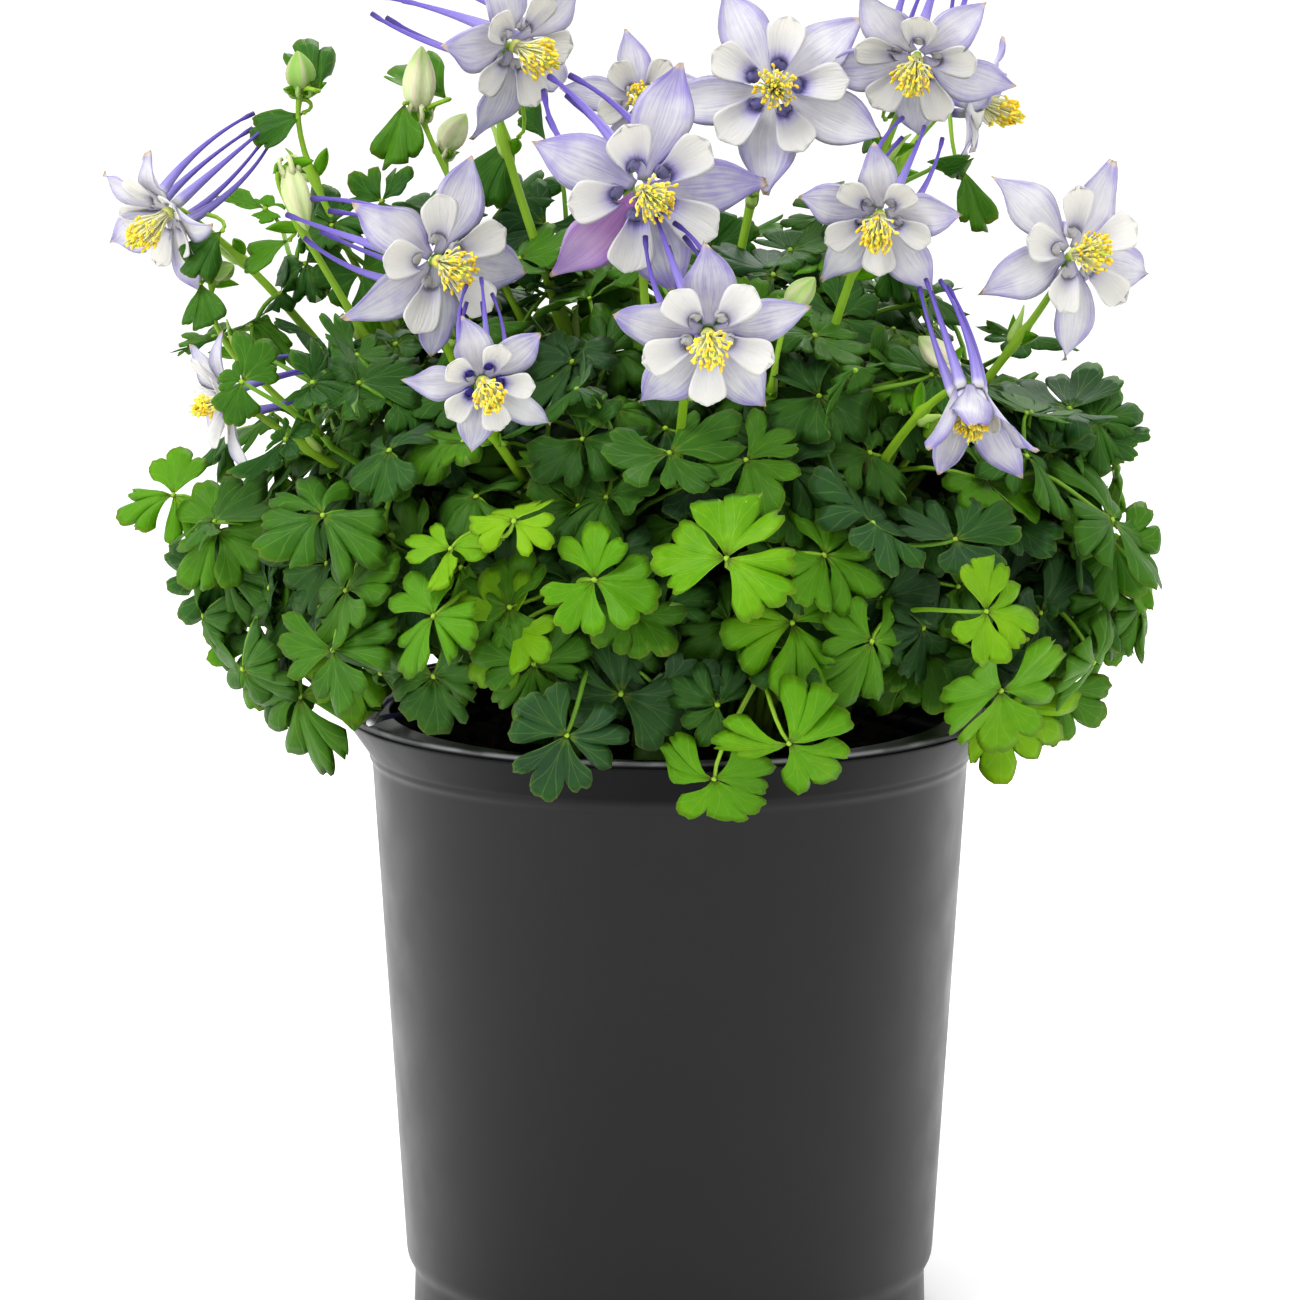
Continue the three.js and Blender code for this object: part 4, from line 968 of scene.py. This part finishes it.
class Nodes:
    """A material's node tree, with short calls for what these materials use. base is its colour
    so far. through is the light that goes through: its weight, its reach by colour and its scale."""

    def __init__(self, name, roughness, specular=0.5, through=None, sheen=0.0):
        self.material = bpy.data.materials.new(name)
        self.material.use_nodes = True
        self.tree = self.material.node_tree
        self.shader = self.tree.nodes["Principled BSDF"].inputs
        self.put(roughness, self.shader["Roughness"])
        self.put(specular, self.shader["Specular IOR Level"])
        self.put(sheen, self.shader["Sheen Weight"])
        if through:
            for value, part in zip(through, ("Weight", "Radius", "Scale")):
                self.put(value, self.shader["Subsurface " + part])

    def node(self, kind, inputs=None, **settings):
        node = self.tree.nodes.new(kind)
        for key, value in settings.items():
            setattr(node, key, value)
        for key, value in (inputs or {}).items():
            self.put(value, node.inputs[key])
        return node

    def put(self, value, socket):
        if isinstance(value, bpy.types.NodeSocket):
            self.tree.links.new(value, socket)
        else:
            socket.default_value = value

    def math(self, operation, a, b=0.0):
        return self.node("ShaderNodeMath", {0: a, 1: b}, operation=operation).outputs[0]

    def times(self, a, b):
        return self.math("MULTIPLY", a, b)

    def plus(self, a, b):
        return self.math("ADD", a, b)

    def minus(self, a, b):
        return self.math("SUBTRACT", a, b)

    def swing(self, noise, amount):
        """A noise about zero, times amount."""
        return self.times(self.minus(noise, 0.5), amount)

    def step(self, value, low, high, start=0.0, end=1.0):
        """start where value is below low, end where it is above high, and smooth between."""
        inputs = {0: value, 1: low, 2: high, 3: start, 4: end}
        return self.node("ShaderNodeMapRange", inputs, interpolation_type="SMOOTHSTEP").outputs[0]

    def mix(self, share, a, b):
        return self.node("ShaderNodeMix", {0: share, 6: a, 7: b}, data_type="RGBA").outputs[2]

    def tint(self, share, text):
        self.base = self.mix(share, self.base, colour(text))

    def ramp(self, value, stops):
        """stops are the ramp's places, in order, each with its colour."""
        node = self.node("ShaderNodeValToRGB", {0: value})
        elements = node.color_ramp.elements
        elements.remove(elements[1])
        for i, (at, text) in enumerate(stops.items()):
            stop = elements.new(at) if i else elements[0]
            stop.position = at
            stop.color = colour(text)
        return node.outputs[0]

    def mark(self, name):
        node = self.node("ShaderNodeAttribute", attribute_name=name)
        return self.node("ShaderNodeSeparateXYZ", {0: node.outputs["Vector"]}).outputs

    def place(self):
        return self.node("ShaderNodeTexCoord").outputs["Object"]

    def noise(self, scale, detail=2.0, vector=None):
        inputs = {"Vector": vector or self.place(), "Scale": scale, "Detail": detail}
        return self.node("ShaderNodeTexNoise", inputs).outputs[0]

    def streaks(self, scale, across, along, seed, detail=2.0):
        """Noise along a form. across and along are pairs of a mark and its scale."""
        inputs = {0: self.times(*across), 1: self.times(*along), 2: seed}
        return self.noise(scale, detail, self.node("ShaderNodeCombineXYZ", inputs).outputs[0])

    def finish(self, relief=None, strength=0.0, distance=0.0):
        if relief:
            inputs = {"Height": relief, "Strength": strength, "Distance": distance}
            self.put(self.node("ShaderNodeBump", inputs).outputs[0], self.shader["Normal"])
        self.put(self.base, self.shader["Base Color"])
        return self.material


THROUGH_LEAF = (0.15, (0.6, 1, 0.25), 0.002)


def leaf_material(name, roughness, stops):
    """Green by tone, with pale veins, margin and hub, and painted shade that darkens it towards black deep
    in the mound.
    """
    m = Nodes(name, roughness, 0.13, THROUGH_LEAF)
    across, along, _ = m.mark("mark")
    tone, _, unshaded = m.mark("trait")
    x = m.times(across, 1.5)
    off = m.math("ABSOLUTE", m.minus(x, m.math("ROUND", x)))
    fork = m.times(m.step(along, 0.12, 0.95), 0.34)
    ribs = m.math("MINIMUM", off, m.math("ABSOLUTE", m.minus(off, fork)))
    rib = m.step(m.times(m.times(ribs, along), 11.0), 0, 0.24, 1, 0)
    net = m.node("ShaderNodeTexVoronoi", {"Vector": m.place(), "Scale": 900}).outputs[0]
    fine = m.noise(420)
    shade = m.plus(m.plus(tone, m.swing(m.noise(55, 3), 0.35)), m.swing(fine, 0.16))
    m.base = m.ramp(shade, stops)
    m.tint(m.times(rib, 0.09), "a9c870")
    m.tint(m.step(along, 0, 0.2, 0.5, 0), "8dab48")
    edge = m.math("MAXIMUM", m.step(along, 0.93, 1), m.step(m.math("ABSOLUTE", across), 0.94, 1))
    m.tint(m.times(edge, 0.08), "93b050")
    # painted shade: leaves deep in the mound are darkened nearly to black
    m.tint(m.times(m.minus(1, unshaded), 0.92), "050d03")
    relief = m.plus(m.times(rib, -0.35), m.times(net, 0.2))
    return m.finish(m.plus(relief, m.times(fine, 0.4)), 0.4, 0.0004)


def stem_material():
    """Streaked green, brown at its foot and pale at its sheaths."""
    m = Nodes("stem_green", 0.42, 0.4, THROUGH_LEAF)
    share, angle, _ = m.mark("mark")
    tone, seed, sheath = m.mark("trait")
    m.base = m.ramp(tone, {0: "4d7a18", 0.5: "6e991e", 1: "92b42c"})
    streak = m.streaks(6, (angle, 2.2), (share, 1.5), seed)
    m.tint(m.step(streak, 0.45, 0.7, 0, 0.4), "88a93e")
    m.tint(m.step(share, 0, 0.16, 0.5, 0), "5d5a2c")
    m.tint(m.step(sheath, 0.5, 0.8, 0, 0.5), "b4c987")
    return m.finish(streak, 0.35, 0.0003)


def bud_material():
    """Green to cream, with a green tip and pink keels."""
    m = Nodes("bud_green", 0.5, 0.3, (0.2, (0.8, 0.8, 0.5), 0.003))
    share, angle, _ = m.mark("mark")
    ripe, seed, _ = m.mark("trait")
    m.base = m.ramp(ripe, {0: "6d9a3a", 0.6: "b6c48c", 1: "d3d3b4"})
    m.tint(m.times(m.step(share, 0.55, 1), 0.7), "7ba23e")
    keel = m.math("ABSOLUTE", m.math("COSINE", m.times(angle, 2.5)))
    m.tint(m.step(keel, 0.85, 1, 0, 0.35), "c9a3ad")
    grain = m.streaks(24, (angle, 1), (share, 0.25), seed, 3)
    m.tint(m.step(grain, 0.4, 0.7, 0, 0.35), "8fa85a")
    return m.finish(grain, 0.3, 0.0004)


def sepal_material():
    """White to violet, deeper at the margins, veins and tip, with a tan green point."""
    m = Nodes("sepal_lavender", 0.5, 0.25, (0.3, (0.9, 0.85, 1), 0.003), 0.15)
    across, along, _ = m.mark("mark")
    violet, seed, blush = m.mark("trait")
    lines = m.streaks(5.5, (across, 2.4), (along, 0.5), m.times(seed, 9), 3)
    blotch = m.noise(120, 3)
    depth = m.plus(m.times(violet, 0.52), m.swing(blotch, 1))
    depth = m.plus(depth, m.step(m.math("ABSOLUTE", across), 0.45, 1, 0, 0.42))
    depth = m.plus(depth, m.step(along, 0.6, 1, 0, 0.3))
    depth = m.plus(depth, m.step(along, 0, 0.3, 0.22, 0))
    depth = m.plus(depth, m.swing(lines, 0.75))
    m.base = m.ramp(depth, {0: "c3c2c5", 0.25: "b2b0bb", 0.5: "9894b2", 0.75: "827aab", 1: "7060a4"})
    m.tint(m.times(blush, m.step(along, 0.1, 0.9, 0.85, 0.4)), "96559f")
    m.tint(m.step(along, 0.93, 0.985, 0, 0.8), "c3a56e")
    return m.finish(m.plus(lines, m.times(blotch, 0.4)), 0.45, 0.0006)


def spur_material():
    """Violet, darker to its tip, with the throat's colour in its mouth."""
    m = Nodes("spur_violet", 0.45, 0.3, (0.2, (0.7, 0.6, 1), 0.003))
    share, angle, _ = m.mark("mark")
    _, seed, throat = m.mark("trait")
    m.base = m.ramp(share, {0: "5b4fa8", 0.12: "6a5db5", 0.2: "9c94c4", 0.4: "8075b6", 0.7: "6656a4",
                            0.93: "524290", 1: "3a2d62"})
    streak = m.streaks(3, (angle, 1.5), (share, 1), seed)
    m.tint(m.step(streak, 0.4, 0.7, 0, 0.35), "524396")
    mouth = m.mix(m.times(throat, throat), colour("cfcdd0"), colour("3f3690"))
    m.base = m.mix(m.step(share, 0.17, 0.25, 1, 0), m.base, mouth)
    return m.finish(streak, 0.3, 0.0003)


def petal_material():
    """Cream white, with a violet blue throat."""
    m = Nodes("petal_white", 0.5, 0.25, (0.3, (1, 0.9, 0.7), 0.003), 0.15)
    across, along, _ = m.mark("mark")
    strength, seed, _ = m.mark("trait")
    lines = m.streaks(5, (across, 2), (along, 0.4), seed, 3)
    reach = m.plus(along, m.swing(lines, 0.16))
    throat = m.ramp(reach, {0: "4a409a", 0.08: "6e65b6", 0.18: "a7a2c4", 0.34: "bfbec2", 0.7: "c8c6c1",
                            1: "c9c7c1"})
    plain = m.ramp(reach, {0: "afadbc", 0.16: "bcbbc1", 0.36: "c4c3c1", 1: "c9c7c1"})
    m.base = m.mix(strength, plain, throat)
    m.tint(m.times(m.step(lines, 0.5, 0.75), 0.25), "bdb9cc")
    return m.finish(lines, 0.5, 0.0006)


def anther_material():
    m = Nodes("anther_yellow", 0.65, 0.2, (0.15, (1, 0.7, 0.2), 0.001))
    seed, _, _ = m.mark("trait")
    grain = m.noise(1800)
    m.base = m.ramp(seed, {0: "d9b022", 0.5: "e8cb36", 1: "f2e05c"})
    m.tint(m.step(grain, 0.35, 0.7, 0, 0.4), "f4e682")
    return m.finish(grain, 0.5, 0.0003)


def filament_material():
    m = Nodes("filament_pale", 0.5, through=(0.2, (0.8, 1, 0.4), 0.001))
    style, _, _ = m.mark("trait")
    m.base = m.ramp(style, {0: "e9e8b4", 0.6: "c6cf52", 1: "a8c024"})
    m.tint(m.times(m.noise(700), 0.3), "f4f3d8")
    return m.finish()


def pot_material():
    """Satin charcoal plastic with a fine blow-moulded grain and scuffs, and a mottled grey painted highlight
    along the rim's top edge.
    """
    m = Nodes("pot_plastic", 0.34)
    height = m.node("ShaderNodeSeparateXYZ", {0: m.place()}).outputs[2]
    # the rim's top edge, where the gloss is raised and a highlight is painted
    lip_highlight = m.step(height, (POT_HEIGHT - 1.4) * MM, (POT_HEIGHT - 0.7) * MM)
    band_foot = POT_HEIGHT - BAND_HEIGHT
    gloss = m.step(height, (band_foot + 1) * MM, (band_foot + 4) * MM, 0.37, 0.16)
    m.put(m.plus(gloss, m.times(lip_highlight, 0.4)), m.shader["Specular IOR Level"])
    mottle = m.noise(9, 4)
    scuff = m.noise(70, 5)
    m.base = m.mix(m.step(mottle, 0.35, 0.7), colour("080809"), colour("0c0c0d"))
    m.tint(m.step(scuff, 0.6, 0.8, 0, 0.2), "1a1a1b")
    # painted highlight: the rim's top edge is lightened to grey, mottled by the scuff noise
    m.tint(m.times(lip_highlight, m.step(scuff, 0.35, 0.6, 0.35, 1)), "767678")
    m.put(m.step(m.plus(scuff, m.times(mottle, 0.5)), 0.4, 1.1, 0.3, 0.4), m.shader["Roughness"])
    return m.finish(m.plus(m.times(m.noise(2600), 0.25), m.times(scuff, 0.6)), 0.22, 0.0004)


def soil_material():
    m = Nodes("potting_mix", 0.95, 0.2)
    seed, _, _ = m.mark("trait")
    clump = m.noise(160, 5)
    shade = m.plus(m.times(clump, 0.7), m.times(seed, 0.3))
    m.base = m.ramp(shade, {0.2: "0d0906", 0.5: "2a1c13", 0.72: "4a3321", 0.95: "6b4c33"})
    return m.finish(m.plus(clump, m.times(m.noise(900, 4), 0.6)), 0.9, 0.002)


LEAF_TOP = {0: "28422c", 0.2: "2d521e", 0.5: "426d15", 0.78: "53850e", 1: "6f970f"}
LEAF_BACK = {0: "587c4c", 0.5: "6d923e", 1: "93b43c"}
LEAF_MATERIALS = [leaf_material("leaf_green", 0.46, LEAF_TOP),
                  leaf_material("leaf_underside", 0.55, LEAF_BACK), stem_material(), bud_material()]
SEPAL_MATERIALS = [sepal_material(), spur_material()]
PETAL_MATERIALS = [petal_material()]
STAMEN_MATERIALS = [anther_material(), filament_material()]


# ---- The plant ----
for leaf in compound_leaves():
    grow_leaf(leaf)
for flower in BLOOMS:
    grow_stem(flower)
for flower in BUDS:
    grow_stem(flower, is_bud=True)
for leaf in edge_leaves():
    grow_leaf(leaf)
for leaf in inner_leaves():
    grow_leaf(leaf, fine=False, joint_depth=INNER_DEPTH)
for shoot in [*OUTER, MIDDLE]:
    shoot.piece.make(LEAF_MATERIALS, "shoot_" + shoot.name, "leaf_green")

for i, flower in enumerate(BLOOMS, 1):
    sepals, petals, stamens = Piece(f"sepals_{i}"), Piece(f"petals_{i}"), Piece(f"stamens_{i}")
    for k in range(5):
        angle = flower.turn + 72 * k
        add_sepal(sepals, flower, angle + vary(4))
        add_spur(sepals, flower, angle + 36)
        add_petal(petals, flower, angle + 36)
    add_stamens(stamens, flower)
    sepals.make(SEPAL_MATERIALS, f"bloom_{i}_sepals", "sepal_lavender")
    petals.make(PETAL_MATERIALS, f"bloom_{i}_petals", "petal_white")
    stamens.make(STAMEN_MATERIALS, f"bloom_{i}_stamens", "stamen_yellow")

# The shed spur over the rim, and a thinner strand of it that arches above: the four points that
# lead each, its radius at either end and its sides.
SHED = [
    ([(-79.5, -43, 169.7), (-75.8, -29.7, 169.2), (-72.3, -21, 168.2), (-69, -17, 166.9)], 0.95, 0.5, 8),
    ([(-78.2, -39.6, 169.8), (-75.6, -22, 173.2), (-73, -14, 173.4), (-69.3, -17, 168.2)], 0.55, 0.4, 7),
]
shed = Piece("shed_spur")
for points, thick, thin, sides in SHED:
    add_tube(shed, bezier(*np.array(points), 12), np.linspace(thick, thin, 13), sides, 1, (0, 0.5, 0))
shed.make(SEPAL_MATERIALS, "fallen_spur", "spur_violet")


# ---- The pot and its soil ----
def lathe(piece, profile, sides, trait=(0, 0, 0)):
    """A closed turned body: profile is (radius, height), its first and last points on the axis."""
    turns = ring_angles(sides)
    circle = np.stack([np.cos(turns), np.sin(turns), np.zeros(sides)], -1)
    rings = [circle * r + UP * z for r, z in profile[1:-1]]
    points = np.concatenate([*rings, [[0, 0, profile[0][1]], [0, 0, profile[-1][1]]]])
    piece.add(points, closed_rings(len(rings), sides), 0, np.zeros((len(points), 3)), trait)


def rounded(corners):
    """A profile with its corners rounded: each corner is (radius, height, rounding)."""
    profile = [corners[0][:2]]
    for before, corner, after in zip(corners, corners[1:], corners[2:]):
        p = vec(*corner[:2])
        a, b = vec(*before[:2]) - p, vec(*after[:2]) - p
        cut = min(corner[2], 0.45 * np.linalg.norm(a), 0.45 * np.linalg.norm(b))
        start, end = p + unit(a) * cut, p + unit(b) * cut
        for s in np.linspace(0, 1, 5):
            profile.append(start * (1 - s) ** 2 + 2 * p * s * (1 - s) + end * s ** 2)
    return profile + [corners[-1][:2]]


BAND_FOOT = POT_HEIGHT - BAND_HEIGHT
CREASE = BAND_FOOT + CREASE_RISE
# The rim's edge from its outer face over its bead to its inner ledge: inwards from RIM_RADIUS,
# down from POT_HEIGHT, and rounding.
RIM_EDGE = [(0.3, 2.6, 0.7), (0.1, 2, 0.3), (0.5, 1.7, 0.3), (0, 1.3, 0.4), (0.4, 0, 0.7), (1.6, 0.1, 0.6),
            (1.9, 1.1, 0.3), (2.4, 1.1, 0.3), (2.7, 0.5, 0.3), (3.5, 0.6, 0.4), (4, 1.2, 0.5)]
foot_edge = FOOT_RADIUS - 0.3
pot = Piece("nursery_pot")
lathe(pot, rounded([
    (0, 0, 0), (FOOT_RADIUS, 0, 1.2), (foot_edge, FOOT_HEIGHT, 1.5), (BASE_RADIUS, FOOT_HEIGHT + 3.6, 3),
    (NECK_RADIUS, CREASE - 1.8, 1.2), (NECK_RADIUS + 0.9, CREASE - 0.3, 0.7),
    (NECK_RADIUS + 0.9, CREASE + 1, 0.8),
    *((RIM_RADIUS - inwards, POT_HEIGHT - down, rounding) for inwards, down, rounding in RIM_EDGE),
    (LEDGE_RADIUS, POT_HEIGHT - 1.9, 1), (LEDGE_RADIUS, POT_HEIGHT - 3.3, 0.6),
    (RIM_RADIUS - 2 * WALL, POT_HEIGHT - 3.8, 0.6), (NECK_RADIUS - WALL, CREASE + 0.5, 1.5),
    (BASE_RADIUS - WALL, FOOT_HEIGHT + 4.6, 2), (foot_edge - WALL, FOOT_HEIGHT + 0.6, 1),
    (foot_edge - WALL, FLOOR, 1), (0, FLOOR, 0)]), 112)
pot_piece = pot.make([pot_material()], "pot", "pot_plastic")


def drill(piece, angle):
    """Cuts a drain hole through the pot's floor."""
    plug = Piece("drill")
    lathe(plug, [(0, -4), (DRAIN_RADIUS, -4), (DRAIN_RADIUS, 6), (0, 6)], 32)
    at = vec(DRAIN_CIRCLE * sine(angle), DRAIN_CIRCLE * cosine(angle), 0)
    faces = np.split(np.concatenate(plug.loops), np.cumsum(np.concatenate(plug.sizes))[:-1])
    mesh = bpy.data.meshes.new("drill")
    mesh.from_pydata(((plug.points[0] + at) * MM).tolist(), [], [face.tolist() for face in faces])
    tool = add_object("drill", mesh)
    cut = piece.modifiers.new("drain", "BOOLEAN")
    cut.operation = "DIFFERENCE"
    cut.object = tool
    cut.solver = "EXACT"
    bpy.context.view_layer.update()
    scene_now = bpy.context.evaluated_depsgraph_get()
    drilled = bpy.data.meshes.new_from_object(piece.evaluated_get(scene_now))
    piece.modifiers.clear()
    piece.data = drilled
    bpy.data.objects.remove(tool)


for i in range(DRAIN_HOLES):
    drill(pot_piece, 45 + 360 * i / DRAIN_HOLES)
pot_piece.data.set_sharp_from_angle(angle=math.radians(50))

soil = Piece("soil_mix")
neck = NECK_RADIUS - WALL - 0.4
foot = FOOT_RADIUS - WALL - 0.6
slope = zip(np.linspace(neck, SOIL_CROWN, 8), np.linspace(BAND_FOOT - 1.4, SOIL_TOP, 8))
lathe(soil, [(0, FLOOR + 0.3), (foot, FLOOR + 0.3), (foot, FOOT_HEIGHT + 0.7),
             (BASE_RADIUS - WALL - 0.3, FOOT_HEIGHT + 4.9), *slope,
             *((r, SOIL_TOP) for r in np.linspace(SOIL_CROWN - 3, 1.5, 26)), (0, SOIL_TOP)], 96, (0.3, 0, 0))
x, y, z = soil.points[0].T
inside = (z > BAND_FOOT - 1) & (np.hypot(x, y) < neck - 1)
lumps = sum(height * np.sin(x * often + phase) * np.sin(y * often * 1.1 + 2 * phase)
            for height, often, phase in ((0.9, 0.16, 1), (0.6, 0.41, 2), (0.35, 0.93, 4)))
z[inside] += lumps[inside] - 0.4 + vary(0.35, inside.sum())
for i in range(CRUMBS):
    r, angle = CRUMB_CIRCLE * math.sqrt(chance.rand()), vary(180)
    size = chance.uniform(0.7, 2.4) * (1 if i % 12 else 1.7)
    centre = vec(r * cosine(angle), r * sine(angle), SOIL_TOP - 0.4 - max(0, r - SOIL_CROWN) * 0.09)
    axes = [unit(vec(*vary(1, 3))) * size * share for share in (1, 0.6, 0.5)]
    add_blob(soil, centre, axes, 0, (chance.rand() * (1.0 if i % 9 else 2.4), 0, 0),
             profile=lambda t, turns: math.sin(math.pi * t) * (1 + 0.3 * np.sin(3 * turns + i)))
soil.make([soil_material()], "soil", "potting_mix")


# ---- The studio ----
CAMERA_AT = (-5.4, -1515, 444)
CAMERA_PITCH = 9.82
CAMERA_LENS = 157.1
FLOOR_HALF = 6              # metres, as are the places and sizes of the lights
LIGHT_AIM = (0, 0, 0.22)

camera = add_object("camera", bpy.data.cameras.new("camera"))
camera.location = [value * MM for value in CAMERA_AT]
camera.rotation_euler = (math.radians(90 - CAMERA_PITCH), 0, 0)
camera.data.sensor_width = 36
camera.data.lens = CAMERA_LENS
camera.data.clip_end = 50
bpy.context.scene.camera = camera

floor_mesh = bpy.data.meshes.new("floor")
corners = [(-1, -1), (1, -1), (1, 1), (-1, 1)]
floor_mesh.from_pydata([(x * FLOOR_HALF, y * FLOOR_HALF, 0) for x, y in corners], [], [(0, 1, 2, 3)])
paint = Nodes("floor_white", 0.8, 0.1)
paint.base = colour("fbfbfb")
floor_mesh.materials.append(paint.finish())
floor = add_object("floor", floor_mesh)
floor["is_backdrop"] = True

world = bpy.data.worlds.new("studio")
world.use_nodes = True
world.node_tree.nodes["Background"].inputs[0].default_value = (1, 1, 1, 1)
world.node_tree.nodes["Background"].inputs[1].default_value = 1.0
bpy.context.scene.world = world
bpy.context.scene.view_settings.view_transform = "Standard"
bpy.context.scene.view_settings.look = "Medium High Contrast"


def soft_box(name, at, size, power):
    lamp = bpy.data.lights.new(name, "AREA")
    lamp.shape = "RECTANGLE"
    lamp.size, lamp.size_y = size
    lamp.energy = power
    box = add_object(name, lamp)
    box.location = at
    x, y, z = np.array(LIGHT_AIM) - np.array(at)
    box.rotation_euler = (math.atan2(math.hypot(x, y), -z), 0, math.atan2(y, x) - math.pi / 2)


soft_box("key", (-0.7, -0.9, 1.6), (0.7, 0.7), 16)
soft_box("side", (-1.5, -0.5, 0.7), (0.6, 1.2), 5)
soft_box("fill", (1.2, -0.9, 0.9), (0.8, 1.2), 3)
soft_box("back", (0.3, 1.2, 1.3), (1.0, 0.6), 8)

size = {"cad": [list(corner) for corner in cad_box], "visual": [list(corner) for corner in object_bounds()]}
